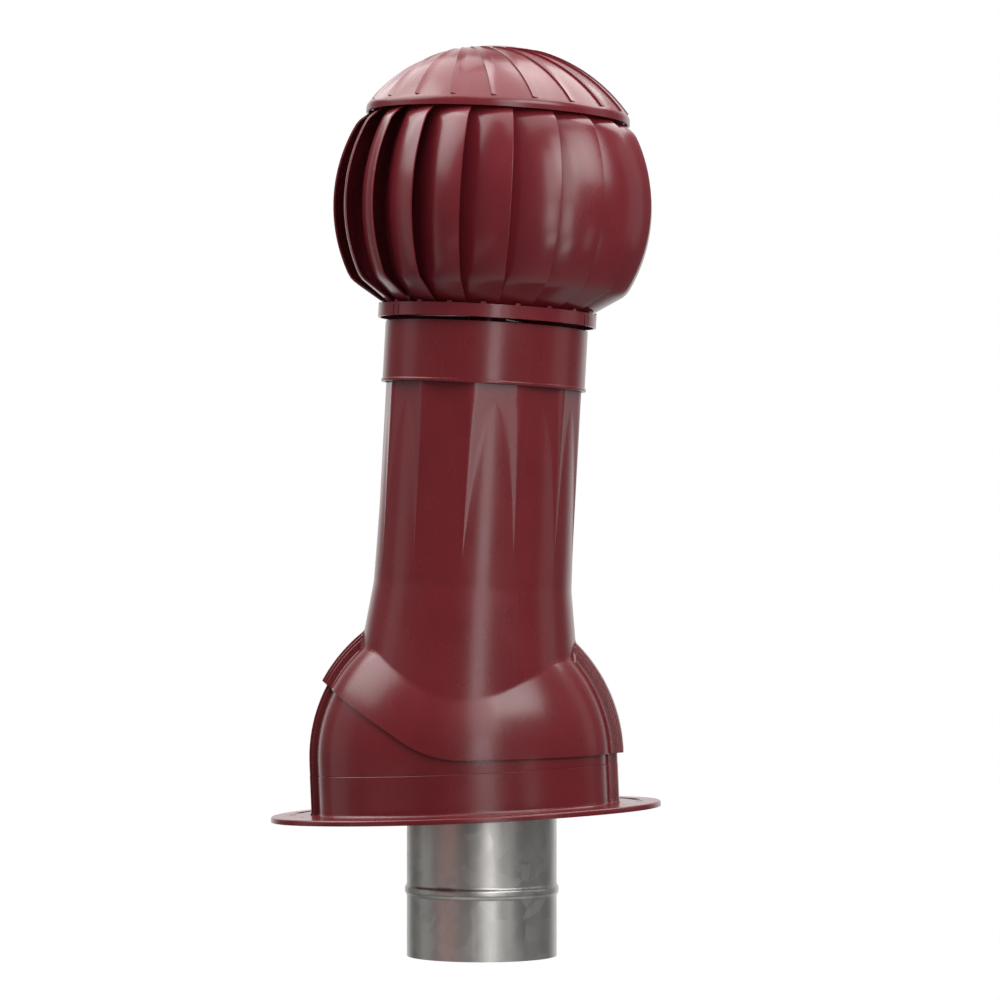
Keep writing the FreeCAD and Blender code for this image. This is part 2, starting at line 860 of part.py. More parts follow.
def add_cap_posts(shell):
    """Screw posts that reach from the dome down to the upper ring."""
    low = upper_ring_top()
    reach = cap_post_reach()
    inner = val("cap_radius") - val("cap_wall")
    top = cap_centre() + math.sqrt(inner ** 2 - (reach - val("cap_post_radius")) ** 2)
    bore = val("cap_screw_radius") + val("screw_fit")
    post = Part.makeCylinder(val("cap_post_radius"), top + val("cut_margin") - low, Vector(reach, 0, low))
    pilot = Part.makeCylinder(bore, val("cap_screw_length"), Vector(reach, 0, low))
    post = post.common(Part.makeSphere(inner + val("cap_wall") / 2, Vector(0, 0, cap_centre())))
    posts = [spin(post, angle) for angle in cap_post_places()]
    pilots = [spin(pilot, angle) for angle in cap_post_places()]
    return shell.fuse(posts).cut(pilots)


def make_cap_screws():
    """Screws that hold the cap to the upper ring, from below."""
    under = upper_ring_top() - val("upper_ring_thickness")
    head = Part.makeCylinder(val("cap_screw_head_radius"), val("cap_screw_head"),
                             Vector(cap_post_reach(), 0, under - val("cap_screw_head")))
    length = val("cap_screw_length") - val("cut_margin")
    shank = Part.makeCylinder(val("cap_screw_radius"), length, Vector(cap_post_reach(), 0, under))
    screw = head.fuse(shank)
    return Part.Compound([spin(screw, angle) for angle in cap_post_places()])


# Bodies that are turned and padded

def make_collar():
    """Neck collar: a sleeve over the stack top with a shoulder inside and a broken lip below."""
    body = new_body("neck_collar", STACK_FRAME)
    inner = D.stack_top_radius + D.collar_fit
    outer = inner + D.collar_wall
    lip = outer + D.collar_lip_rise
    lip_top = D.collar_bottom + D.collar_lip_height
    seat = D.stack_top + D.ring_lip + D.spider_rim_thickness
    seat_top = seat + D.collar_shoulder_thickness
    shoulder = inner - D.collar_shoulder
    turn(body, "collar_sleeve", [
        (inner, D.collar_bottom), (lip, D.collar_bottom), (lip, lip_top), (outer, lip_top),
        (outer, D.collar_top), (inner, D.collar_top), (inner, seat_top), (shoulder, seat_top),
        (shoulder, seat), (inner, seat),
    ])
    sketch = new_sketch(body, "lip_gap_outline", "XY_Plane", lip_gap_offset())
    half = lip * math.tan(math.radians(val("collar_gap_angle") / 2))
    far = lip + D.collar_lip_rise
    add_outline(sketch, [(outer, -half), (far, -half), (far, half), (outer, half)])
    gap = body.newObject("PartDesign::Pocket", "lip_gap")
    gap.Profile = sketch
    bind(gap, "Length", D.collar_lip_height)
    gap.Reversed = True
    repeat(body, gap, 3, sketch)


def lip_gap_offset():
    """Where the first gap in the collar's lip lies."""
    turned = Rotation(Z_AXIS, val("collar_gap_phase_angle") - 90)
    return Placement(Vector(0, 0, val("collar_bottom")), turned)


def duct_top_size():
    """How far the duct's top stands above the crossing of the axes."""
    return D.duct_seat - D.duct_crossing


def make_duct():
    """Galvanised duct with a bead below and a turned-out rim on top."""
    body = new_body("duct", DUCT_FRAME)
    outer = D.duct_radius
    inner = outer - D.duct_wall
    rise = outer + D.bead_rise
    inner_rise = inner + D.bead_rise
    low = -D.duct_bottom
    bead_low = -(D.bead_centre + D.bead_height / 2)
    bead_high = -(D.bead_centre - D.bead_height / 2)
    bead_foot = -(D.bead_centre + D.bead_height / 5)
    bead_head = -(D.bead_centre - D.bead_height / 5)
    top = duct_top_size()
    rim_top = top + D.duct_rim_thickness
    turn(body, "duct_wall_turned", [
        (inner, low), (outer, low), (outer, bead_low), (rise, bead_foot), (rise, bead_head),
        (outer, bead_high), (outer, top), (outer + D.duct_rim, top),
        (outer + D.duct_rim, rim_top), (inner, rim_top), (inner, bead_high),
        (inner_rise, bead_head), (inner_rise, bead_foot), (inner, bead_low),
    ])


def make_sleeve():
    """Foam sleeve round the duct, inside the stack."""
    body = new_body("insulation_sleeve", DUCT_FRAME)
    inner = D.duct_radius + D.duct_fit
    outer = inner + D.sleeve_thickness
    low = -D.sleeve_bottom
    top = D.ring_bottom - D.duct_crossing - D.sleeve_headroom
    turn(body, "sleeve_turned", [(inner, low), (outer, low), (outer, top), (inner, top)])


def stack_flat_size():
    """The distance to the stack's flats, worked out by the sheet."""
    share = Size(math.cos(math.pi / val("panel_count")), "cos(180 deg / dims.panel_count)")
    return D.stack_top_radius * share


def make_centring_ring():
    """Ring on the stack's top edge that the duct hangs in, its bore tilted with the duct."""
    body = new_body("duct_centring_ring", STACK_FRAME)
    outer = stack_flat_size() - D.shell_wall - D.ring_fit
    lip_top = D.stack_top + D.ring_lip
    turn(body, "ring_turned", [
        (D.ring_skirt_reach, D.ring_bottom), (outer, D.ring_bottom), (outer, D.stack_top),
        (D.stack_top_radius, D.stack_top), (D.stack_top_radius, lip_top), (D.ring_skirt_reach, lip_top),
    ])
    tilt = Placement(Vector(0, val("duct_crossing"), 0), Rotation(Z_AXIS, val("duct_tilt_angle")))
    bore = D.duct_radius + D.duct_fit
    recess = D.duct_radius + D.duct_rim + D.duct_fit
    seat = duct_top_size()
    top = seat + D.duct_rim * 3
    low = D.ring_bottom - D.duct_crossing - D.duct_rim
    turn(body, "duct_bore", [
        (0, low), (bore, low), (bore, seat), (recess, seat), (recess, top), (0, top),
    ], "PartDesign::Groove", tilt)


def make_spider():
    """Spider in the neck: a rim under the collar's shoulder, four arms and a boss."""
    body = new_body("bearing_spider", STACK_FRAME)
    low = D.stack_top + D.ring_lip
    high = low + D.spider_rim_thickness
    outer = D.stack_top_radius
    arm_end = D.stack_top_radius - D.collar_shoulder
    inner = arm_end - D.spider_arm_root
    turn(body, "spider_rim", [(inner, low), (outer, low), (outer, high), (inner, high)])
    arm_low = high - D.spider_rim_thickness
    add_spokes(body, "spider_arm", D.spider_arm_count, D.spindle_radius * 1.5, arm_end,
               D.spider_arm_width, arm_low, D.spider_arm_thickness)
    bore = D.spindle_radius + D.spindle_fit
    sketch = new_sketch(body, "boss_outline", "XY_Plane", level(low))
    add_circle(sketch, 0, 0, D.boss_radius)
    raise_pad(body, "spider_boss", sketch, D.boss_top - low)
    under = low - D.cut_margin
    over = D.boss_top + D.cut_margin
    turn(body, "spindle_bore", [(0, under), (bore, under), (bore, over), (0, over)], "PartDesign::Groove")


def lower_bearing_foot():
    """Height of the lower bearing's underside."""
    return D.boss_top + D.spindle_shoulder_height


def blade_head_size():
    """The height of the blades' heads, worked out by the sheet."""
    share = Size(math.sin(math.radians(val("blade_high_angle"))), "sin(dims.blade_high_angle * 1 deg)")
    return D.blade_centre + D.blade_radius * share + D.blade_head_rise


def upper_bearing_foot():
    """Height of the upper bearing's underside, level with the upper ring."""
    return blade_head_size() - D.bearing_width / 2


def make_spindle():
    """Fixed spindle that the rotor turns on."""
    body = new_body("spindle", STACK_FRAME)
    radius = D.spindle_radius
    low = D.stack_top + D.ring_lip - D.spindle_tail
    shoulder_top = lower_bearing_foot()
    top = upper_bearing_foot() + D.bearing_width + D.spindle_head
    wide = D.spindle_shoulder_radius
    turn(body, "spindle_turned", [
        (0, low), (radius, low), (radius, D.boss_top), (wide, D.boss_top), (wide, shoulder_top),
        (radius, shoulder_top), (radius, top), (0, top),
    ])


def make_nut(label, low):
    """A hexagon nut on the spindle."""
    body = new_body(label, STACK_FRAME)
    sketch = new_sketch(body, label + "_outline", "XY_Plane", level(low))
    flats = D.nut_half_flats
    corner = flats * (2 / math.sqrt(3))
    half_side = corner / 2
    add_outline(sketch, [
        (corner, 0), (half_side, flats), (-half_side, flats), (-corner, 0), (-half_side, -flats),
        (half_side, -flats),
    ])
    raise_pad(body, label + "_pad", sketch, D.nut_height)
    bore = D.spindle_radius + D.spindle_fit
    under = low - D.cut_margin
    over = low + D.nut_height + D.cut_margin
    turn(body, label + "_bore", [(0, under), (bore, under), (bore, over), (0, over)], "PartDesign::Groove")


def make_ring_piece(label, inner, outer, low, high):
    """A plain turned ring: a washer, a race or a clip."""
    body = new_body(label, STACK_FRAME)
    turn(body, label + "_turned", [(inner, low), (outer, low), (outer, high), (inner, high)])


def make_bearing(label, low):
    """A sealed bearing: two races and the seals between them, which hide its balls."""
    high = low + D.bearing_width
    inner = D.spindle_radius + D.spindle_fit
    outer = D.bearing_radius
    make_ring_piece(label + "_inner_race", inner, inner + D.race_wall, low, high)
    make_ring_piece(label + "_outer_race", outer - D.race_wall, outer, low, high)
    make_ring_piece(label + "_seals", inner + D.race_wall + D.seal_gap, outer - D.race_wall,
                    low + D.seal_inset, high - D.seal_inset)


def add_hub(body, name, low, high, lip_low):
    """A hub bored for a bearing, with a lip at one end."""
    hub = new_sketch(body, name + "_outline", "XY_Plane", level(low))
    add_circle(hub, 0, 0, D.rotor_hub_radius)
    raise_pad(body, name, hub, high - low)
    seat_low = low + D.hub_lip if lip_low else low
    seat_high = high if lip_low else high - D.hub_lip
    seat = D.bearing_radius
    turn(body, name + "_seat", [(0, seat_low), (seat, seat_low), (seat, seat_high), (0, seat_high)],
         "PartDesign::Groove")
    bore = D.hub_lip_bore
    turn(body, name + "_bore", [(0, low), (bore, low), (bore, high), (0, high)], "PartDesign::Groove")


def make_lower_ring():
    """Lower rotor ring with its grooves, blade tabs, spokes and hub."""
    body = new_body("rotor_lower_ring", STACK_FRAME)
    outer = D.rotor_ring_radius
    low = D.rotor_bottom
    top = low + D.rotor_ring_height
    wall = D.rotor_ring_wall
    inner = outer - D.rotor_ring_width
    turn(body, "lower_ring_turned", [
        (outer - wall, low), (outer, low), (outer, top), (inner, top), (inner, top - wall),
        (outer - wall, top - wall),
    ])
    near = D.hub_lip_bore + D.cut_margin
    add_spokes(body, "lower_spoke", D.spoke_count, near, inner + D.cut_margin, D.spoke_width,
               top - D.spoke_thickness, D.spoke_thickness)
    foot = lower_bearing_foot()
    add_hub(body, "lower_hub", foot - D.hub_lip, foot + D.bearing_width, True)
    for side in (-1, 1):
        turned = Rotation(Z_AXIS, val("groove_phase_angle") + side * val("groove_half_pitch_angle") - 90)
        offset = Placement(Vector(0, 0, float(low)), turned)
        name = "left_groove" if side < 0 else "right_groove"
        sketch = new_sketch(body, name + "_outline", "XY_Plane", offset)
        add_outline(sketch, rectangle(outer - D.groove_depth, outer + D.cut_margin, D.groove_width / 2))
        groove = body.newObject("PartDesign::Pocket", name)
        groove.Profile = sketch
        bind(groove, "Length", D.rotor_ring_height - D.rotor_ring_wall)
        groove.Reversed = True
        repeat(body, groove, D.groove_pair_count, sketch)
    tab_turn = Rotation(Z_AXIS, val("tab_phase_angle") - 90)
    tab_offset = Placement(Vector(0, 0, float(top - D.cut_margin)), tab_turn)
    sketch = new_sketch(body, "blade_tab_outline", "XY_Plane", tab_offset)
    tab_outside = outer - D.tab_inset
    add_outline(sketch, rectangle(tab_outside - D.tab_thickness, tab_outside, D.tab_width / 2))
    tab = raise_pad(body, "blade_tab", sketch, D.tab_height + D.cut_margin)
    repeat(body, tab, D.blade_count, sketch)


def blade_head_radius_size():
    """The radius at the blades' heads, worked out by the sheet."""
    cosine = Size(math.cos(math.radians(val("blade_high_angle"))), "cos(dims.blade_high_angle * 1 deg)")
    slope = Size(math.tan(math.radians(val("blade_head_angle"))), "tan(dims.blade_head_angle * 1 deg)")
    return D.blade_radius * cosine - D.blade_head_rise / slope


def make_upper_ring():
    """Upper rotor ring that the blades' heads meet, with its spokes, hub and screw holes."""
    body = new_body("rotor_upper_ring", STACK_FRAME)
    outer = blade_head_radius_size() + D.upper_ring_overhang
    inner = outer - D.upper_ring_width
    low = blade_head_size()
    high = low + D.upper_ring_thickness
    turn(body, "upper_ring_turned", [(inner, low), (outer, low), (outer, high), (inner, high)])
    near = D.hub_lip_bore + D.cut_margin
    add_spokes(body, "upper_spoke", D.spoke_count, near, inner + D.cut_margin, D.spoke_width,
               high - D.spoke_thickness, D.spoke_thickness)
    foot = upper_bearing_foot()
    add_hub(body, "upper_hub", foot, foot + D.bearing_width + D.hub_lip, False)
    offset = Placement(Vector(0, 0, float(high)), Rotation(Z_AXIS, val("cap_post_phase_angle")))
    sketch = new_sketch(body, "screw_hole_outline", "XY_Plane", offset)
    add_circle(sketch, outer - D.cap_post_inset, 0, D.cap_screw_radius + D.screw_fit)
    hole = body.newObject("PartDesign::Pocket", "screw_hole")
    hole.Profile = sketch
    bind(hole, "Length", D.upper_ring_thickness + D.cut_margin)
    repeat(body, hole, D.cap_post_count, sketch)


# The whole ventilator

new_feature("base_flange", make_base(), PIVOT_FRAME)
new_feature("flange_gasket", make_gasket(), FLANGE_FRAME)
new_feature("stack_hood", make_stack_hood(), STACK_FRAME)
make_collar()
make_duct()
make_sleeve()
make_centring_ring()
make_spider()
make_spindle()
spindle_foot = D.stack_top + D.ring_lip
make_ring_piece("lower_washer", D.spindle_radius + D.spindle_fit, D.washer_radius,
                spindle_foot - D.washer_thickness, spindle_foot)
make_nut("lower_spindle_nut", spindle_foot - D.washer_thickness - D.nut_height)
make_bearing("lower_bearing", lower_bearing_foot())
make_bearing("upper_bearing", upper_bearing_foot())
lower_race_top = lower_bearing_foot() + D.bearing_width
make_ring_piece("lower_retaining_ring", D.spindle_radius, D.clip_radius - D.race_wall,
                lower_race_top, lower_race_top + D.clip_thickness)
make_ring_piece("upper_retaining_ring", D.spindle_radius, D.clip_radius - D.race_wall,
                upper_bearing_foot() - D.clip_thickness, upper_bearing_foot())
upper_race_top = upper_bearing_foot() + D.bearing_width
make_ring_piece("upper_washer", D.spindle_radius + D.spindle_fit, D.clip_radius - D.race_wall,
                upper_race_top, upper_race_top + D.hub_lip + D.washer_thickness)
make_nut("upper_spindle_nut", upper_race_top + D.hub_lip + D.washer_thickness)
make_lower_ring()
make_upper_ring()
blade = make_blade()
for number in range(int(val("blade_count"))):
    angle = val("blade_phase_angle") + number * 360 / val("blade_count")
    place = STACK_FRAME.multiply(Placement(Vector(), Rotation(Z_AXIS, angle)))
    new_feature(f"blade_{number + 1:02d}", blade, place)
new_feature("dome_cap", make_cap(), STACK_FRAME)
new_feature("cap_screws", make_cap_screws(), STACK_FRAME)

doc.recompute()

# Checks, then one file for each sub-part

for thing in doc.Objects:
    if "Invalid" in thing.State or "Error" in thing.State:
        raise RuntimeError(f"{thing.Label} failed: {thing.State}")
for sub_part in sub_parts:
    if sub_part.Shape.isNull() or not sub_part.Shape.isValid():
        raise RuntimeError(f"{sub_part.Label} has no valid shape")
os.makedirs("parts", exist_ok=True)
for sub_part in sub_parts:
    sub_part.Shape.exportStep(f"parts/{sub_part.Label}.step")
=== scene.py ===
"""Roof turbine ventilator: looks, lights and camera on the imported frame.

Named sizes are in millimetres, and MM turns them into Blender's metres. The stack
frame has its origin on the pitch pivot and its Z along the stack; the duct frame has
its origin where the two axes cross and its Z along the duct.
"""
import bpy
import json
import math
from mathutils import Matrix, Vector


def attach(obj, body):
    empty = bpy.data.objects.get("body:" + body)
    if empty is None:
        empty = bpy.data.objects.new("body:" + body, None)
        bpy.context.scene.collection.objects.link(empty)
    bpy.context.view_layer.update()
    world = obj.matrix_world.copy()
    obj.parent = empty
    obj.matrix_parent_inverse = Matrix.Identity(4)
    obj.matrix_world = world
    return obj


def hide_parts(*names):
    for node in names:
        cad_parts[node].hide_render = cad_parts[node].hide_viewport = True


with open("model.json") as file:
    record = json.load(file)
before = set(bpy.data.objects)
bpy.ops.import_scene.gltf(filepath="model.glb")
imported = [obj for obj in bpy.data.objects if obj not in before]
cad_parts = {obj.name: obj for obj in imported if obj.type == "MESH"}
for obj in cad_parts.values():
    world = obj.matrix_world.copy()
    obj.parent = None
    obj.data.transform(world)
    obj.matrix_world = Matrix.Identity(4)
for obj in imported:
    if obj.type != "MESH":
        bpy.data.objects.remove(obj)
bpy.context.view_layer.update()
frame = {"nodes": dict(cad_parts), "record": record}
NODES = frame["nodes"]

MM = 0.001
LEAN = math.radians(5.6)
DUCT_LEAN = math.radians(2.5)
PIVOT = Vector((0.0, 0.0, 0.057))
STACK = Matrix.Translation(PIVOT) @ Matrix.Rotation(LEAN, 4, "Y")
CROSSING = STACK @ Vector((0.0, 0.0, 0.340))
DUCT = Matrix.Translation(CROSSING) @ Matrix.Rotation(DUCT_LEAN, 4, "Y")

# Node groups that several materials share


def new_group(name, inputs, outputs):
    """An empty shader node group with its sockets."""
    group = bpy.data.node_groups.new(name, "ShaderNodeTree")
    for kind, label in inputs:
        group.interface.new_socket(label, in_out="INPUT", socket_type="NodeSocket" + kind)
    for kind, label in outputs:
        group.interface.new_socket(label, in_out="OUTPUT", socket_type="NodeSocket" + kind)
    return group, group.nodes.new("NodeGroupInput"), group.nodes.new("NodeGroupOutput")


def feed(tree, socket, source):
    """Gives a socket a number, or the value of another socket."""
    if isinstance(source, (int, float)):
        socket.default_value = source
    else:
        tree.links.new(source, socket)


def noise(tree, vector, scale, detail=3.0, roughness=0.5):
    """A noise texture that reads a vector."""
    node = tree.nodes.new("ShaderNodeTexNoise")
    feed(tree, node.inputs["Scale"], scale)
    node.inputs["Detail"].default_value = detail
    node.inputs["Roughness"].default_value = roughness
    tree.links.new(vector, node.inputs["Vector"])
    return node.outputs["Fac"]


def remap(tree, value, low, high, to_low=0.0, to_high=1.0):
    """Stretches a value from one range to another."""
    node = tree.nodes.new("ShaderNodeMapRange")
    for label, number in zip(("From Min", "From Max", "To Min", "To Max"), (low, high, to_low, to_high)):
        node.inputs[label].default_value = number
    tree.links.new(value, node.inputs["Value"])
    return node.outputs["Result"]


def combine(tree, operation, first, second):
    """A maths node on two sockets or numbers."""
    node = tree.nodes.new("ShaderNodeMath")
    node.operation = operation
    for socket, source in zip(node.inputs, (first, second)):
        feed(tree, socket, source)
    return node.outputs[0]


def stretch(tree, vector, scale):
    """Scales a vector along its axes."""
    node = tree.nodes.new("ShaderNodeMapping")
    node.inputs["Scale"].default_value = scale
    tree.links.new(vector, node.inputs["Vector"])
    return node.outputs["Vector"]


def moulded_group():
    """Fine texture, slow mottling and handling marks of moulded plastic."""
    group, entry, leave = new_group(
        "moulded_skin",
        (("Vector", "Place"), ("Float", "Grain"), ("Float", "Mottle")),
        (("Float", "Height"), ("Float", "Mottle"), ("Float", "Rub")),
    )
    place = entry.outputs["Place"]
    grain = noise(group, place, entry.outputs["Grain"], 2.0)
    mottle = noise(group, place, entry.outputs["Mottle"], 4.0)
    rub = remap(group, noise(group, stretch(group, place, (1.0, 1.0, 0.25)), 60.0, 4.0), 0.50, 0.85)
    ripple = noise(group, place, 26.0, 2.0)
    height = combine(group, "ADD", combine(group, "MULTIPLY", grain, 0.10), ripple)
    group.links.new(height, leave.inputs["Height"])
    group.links.new(mottle, leave.inputs["Mottle"])
    group.links.new(rub, leave.inputs["Rub"])
    return group


def spangle_group():
    """Spangle, streaks and dull spots of galvanised sheet."""
    group, entry, leave = new_group(
        "spangle",
        (("Vector", "Place"), ("Float", "Size")),
        (("Float", "Grain"), ("Float", "Streak"), ("Float", "Spots")),
    )
    place = entry.outputs["Place"]
    warped = group.nodes.new("ShaderNodeVectorMath")
    warped.operation = "ADD"
    warp = group.nodes.new("ShaderNodeTexNoise")
    warp.inputs["Scale"].default_value = 45.0
    group.links.new(place, warp.inputs["Vector"])
    small = group.nodes.new("ShaderNodeVectorMath")
    small.operation = "SCALE"
    small.inputs["Scale"].default_value = 0.012
    group.links.new(warp.outputs["Color"], small.inputs[0])
    group.links.new(place, warped.inputs[0])
    group.links.new(small.outputs["Vector"], warped.inputs[1])
    cells = group.nodes.new("ShaderNodeTexVoronoi")
    group.links.new(warped.outputs["Vector"], cells.inputs["Vector"])
    group.links.new(entry.outputs["Size"], cells.inputs["Scale"])
    tone = group.nodes.new("ShaderNodeSeparateColor")
    group.links.new(cells.outputs["Color"], tone.inputs["Color"])
    group.links.new(tone.outputs["Red"], leave.inputs["Grain"])
    streaks = noise(group, stretch(group, place, (160.0, 160.0, 2.5)), 1.0, 4.0)
    spots = remap(group, noise(group, place, 22.0, 6.0, 0.65), 0.55, 0.8)
    group.links.new(streaks, leave.inputs["Streak"])
    group.links.new(spots, leave.inputs["Spots"])
    return group


MOULDED = moulded_group()
SPANGLE = spangle_group()

# Materials


def new_material(name):
    """A material with its shader and its object coordinates."""
    made = bpy.data.materials.new(name)
    made.use_nodes = True
    tree = made.node_tree
    shader = tree.nodes["Principled BSDF"]
    place = tree.nodes.new("ShaderNodeTexCoord").outputs["Object"]
    return made, tree, shader, place


def use_group(tree, group, place, **numbers):
    """A group node fed with the place and with numbers."""
    node = tree.nodes.new("ShaderNodeGroup")
    node.node_tree = group
    tree.links.new(place, node.inputs["Place"])
    for label, number in numbers.items():
        node.inputs[label].default_value = number
    return node.outputs


def blend_colours(tree, factor, first, second):
    """A mix of two colours by a factor."""
    node = tree.nodes.new("ShaderNodeMix")
    node.data_type = "RGBA"
    tree.links.new(factor, node.inputs["Factor"])
    for socket, source in ((node.inputs[6], first), (node.inputs[7], second)):
        if isinstance(source, tuple):
            socket.default_value = (*source, 1.0)
        else:
            tree.links.new(source, socket)
    return node.outputs[2]


def bump(tree, shader, height, strength, distance):
    """A bump from a height onto the shader's normal."""
    node = tree.nodes.new("ShaderNodeBump")
    node.inputs["Strength"].default_value = strength
    node.inputs["Distance"].default_value = distance
    tree.links.new(height, node.inputs["Height"])
    tree.links.new(node.outputs["Normal"], shader.inputs["Normal"])


def plastic(name, deep, light, rough_low, rough_high):
    """Wine-red moulded plastic with a satin skin."""
    made, tree, shader, place = new_material(name)
    skin = use_group(tree, MOULDED, place, Grain=900.0, Mottle=14.0)
    tone = remap(tree, skin["Mottle"], 0.35, 0.65)
    colour = blend_colours(tree, tone, deep, light)
    worn = combine(tree, "MULTIPLY", skin["Rub"], 0.10)
    rubbed = tuple(1.5 * part for part in light)
    tree.links.new(blend_colours(tree, worn, colour, rubbed), shader.inputs["Base Color"])
    rough = combine(tree, "ADD", remap(tree, skin["Mottle"], 0.3, 0.7, rough_low, rough_high),
                    combine(tree, "MULTIPLY", skin["Rub"], 0.04))
    tree.links.new(rough, shader.inputs["Roughness"])
    shader.inputs["IOR"].default_value = 1.5
    shader.inputs["Coat Weight"].default_value = 0.25
    shader.inputs["Coat Roughness"].default_value = 0.16
    bump(tree, shader, skin["Height"], 0.12, 0.0006)
    return made


def galvanised():
    """Galvanised sheet with a faint spangle and fine streaks down the tube."""
    made, tree, shader, place = new_material("galvanised_sheet")
    marks = use_group(tree, SPANGLE, place, Size=70.0)
    light = blend_colours(tree, marks["Grain"], (0.66, 0.64, 0.61), (0.76, 0.74, 0.71))
    colour = blend_colours(tree, marks["Spots"], light, (0.50, 0.49, 0.47))
    tree.links.new(colour, shader.inputs["Base Color"])
    shader.inputs["Metallic"].default_value = 1.0
    rough = combine(tree, "ADD", remap(tree, marks["Grain"], 0.0, 1.0, 0.32, 0.40),
                    remap(tree, marks["Streak"], 0.3, 0.7, 0.0, 0.06))
    tree.links.new(rough, shader.inputs["Roughness"])
    bump(tree, shader, marks["Streak"], 0.08, 0.0005)
    return made


def plain_metal(name, colour, rough):
    """Turned and plated steel."""
    made, tree, shader, place = new_material(name)
    rings = noise(tree, stretch(tree, place, (40.0, 40.0, 900.0)), 1.0, 3.0)
    groove = tuple(0.8 * part for part in colour)
    tree.links.new(blend_colours(tree, rings, colour, groove), shader.inputs["Base Color"])
    shader.inputs["Metallic"].default_value = 1.0
    tree.links.new(remap(tree, rings, 0.3, 0.7, rough, rough + 0.12), shader.inputs["Roughness"])
    bump(tree, shader, rings, 0.06, 0.0004)
    return made


def dull(name, dark, light, scale, strength, distance):
    """Matt black plastic or foam with a cellular skin."""
    made, tree, shader, place = new_material(name)
    cells = tree.nodes.new("ShaderNodeTexVoronoi")
    cells.inputs["Scale"].default_value = scale
    tree.links.new(place, cells.inputs["Vector"])
    mottle = noise(tree, place, 30.0, 4.0)
    tree.links.new(blend_colours(tree, mottle, dark, light), shader.inputs["Base Color"])
    tree.links.new(remap(tree, mottle, 0.3, 0.7, 0.6, 0.85), shader.inputs["Roughness"])
    bump(tree, shader, cells.outputs["Distance"], strength, distance)
    return made


HOOD_WINE = plastic("hood_wine", (0.165, 0.0135, 0.0185), (0.188, 0.0155, 0.0215), 0.24, 0.30)
ROTOR_WINE = plastic("rotor_wine", (0.172, 0.0160, 0.0235), (0.196, 0.0185, 0.0265), 0.22, 0.28)
SHEET = galvanised()
STEEL = plain_metal("zinc_steel", (0.62, 0.62, 0.63), 0.22)
BLACK = dull("black_plastic", (0.018, 0.018, 0.020), (0.028, 0.028, 0.030), 700.0, 0.15, 0.0004)
FOAM = dull("sleeve_foam", (0.030, 0.030, 0.033), (0.060, 0.060, 0.064), 420.0, 0.6, 0.0012)
STRIP = dull("gasket_foam", (0.022, 0.022, 0.024), (0.045, 0.045, 0.048), 600.0, 0.6, 0.0010)

SLOT_LOOKS = {
    "hood_plastic": HOOD_WINE,
    "rotor_plastic": ROTOR_WINE,
    "galvanised": SHEET,
    "steel": STEEL,
    "black_plastic": BLACK,
    "foam": FOAM,
    "gasket_foam": STRIP,
}


def slot_of(node):
    """The record's material slot of a CAD node."""
    for part in frame["record"]["subparts"]:
        if part["node"] == node:
            return part["material_slot"]
    raise KeyError(node)


for name, node in NODES.items():
    look = SLOT_LOOKS[slot_of(name)]
    if not node.data.materials:
        node.data.materials.append(look)
    for index in range(len(node.material_slots)):
        node.material_slots[index].material = look

# Sizes in millimetres, as the solids have them

PITCH_AXIS = Vector((0.0, 1.0, 0.0))
WALL, BLADE_WALL, CAP_WALL = 2.5, 1.9, 2.4
HOOD_RADIUS, HOOD_REACH, FLAT_HALF = 147.5, 102.6, 22.0
# The hood's band narrows in stairs: (half width, radius)
HOOD_STAIRS = ((12.0, 160.5), (17.0, 158.0), (22.0, 155.0))
BASE_STAIRS = ((13.5, 153.9), (18.5, 150.9))
BASE_MARGIN, CREASE_ROUND = 3.3, 2.6
FLARE_SLOPE = math.radians(7.8)
FOOT_ROUND = 3.5
KINK, KINK_RADIUS, STACK_TOP = 171.0, 99.2, 400.0
PANEL_COUNT, PANEL_TURN, PANEL_CORNER, PANEL_APEX = 12, 11.4, 98.6, 352.0
PANEL_STEP = 360.0 / PANEL_COUNT
PANEL_FLAT = PANEL_CORNER * math.cos(math.pi / PANEL_COUNT)
PANEL_COLUMNS, STACK_ROWS = 16, 80
STACK_COLUMNS = PANEL_COUNT * PANEL_COLUMNS
FLANGE_LENGTH, FLANGE_WIDTH, FLANGE_THICKNESS = 195.5, 165.0, 5.5
COLLAR_SEAT = 409.0
BLADE_COUNT, BLADE_TURN = 20, 9.4
BLADE_STEP = 360.0 / BLADE_COUNT
CAP_RADIUS, CAP_RIM, CAP_FOOT, DOME_FOOT = 165.0, 132.54, 640.0, 646.6
CAP_CENTRE = DOME_FOOT - math.sqrt(CAP_RADIUS ** 2 - CAP_RIM ** 2)
RIB_START, RIB_RISE = 42.0, 1.6
RIB_END = math.sqrt(CAP_RADIUS ** 2 - (DOME_FOOT + 4.0 - CAP_CENTRE) ** 2)
POST_COUNT, POST_CIRCLE, POST_RADIUS = 5, 107.0, 5.0

# Modelling helpers


def start_shape():
    """Leaves nothing selected, so an operator acts on the new shape only."""
    bpy.ops.object.select_all(action="DESELECT")


def select_only(shape):
    """Selects one shape and makes it the active one."""
    start_shape()
    shape.select_set(True)
    bpy.context.view_layer.objects.active = shape


def edit(mode="VERT"):
    """Opens the shape for editing with all of it selected."""
    bpy.ops.object.mode_set(mode="EDIT")
    bpy.ops.mesh.select_mode(type=mode)
    bpy.ops.mesh.select_all(action="SELECT")


def edit_faces(shape, wanted):
    """Opens the shape for editing with the faces selected that pass a test."""
    deselect_mesh(shape)
    for polygon in shape.data.polygons:
        polygon.select = wanted(polygon)
    bpy.context.tool_settings.mesh_select_mode = (False, False, True)
    bpy.ops.object.mode_set(mode="EDIT")


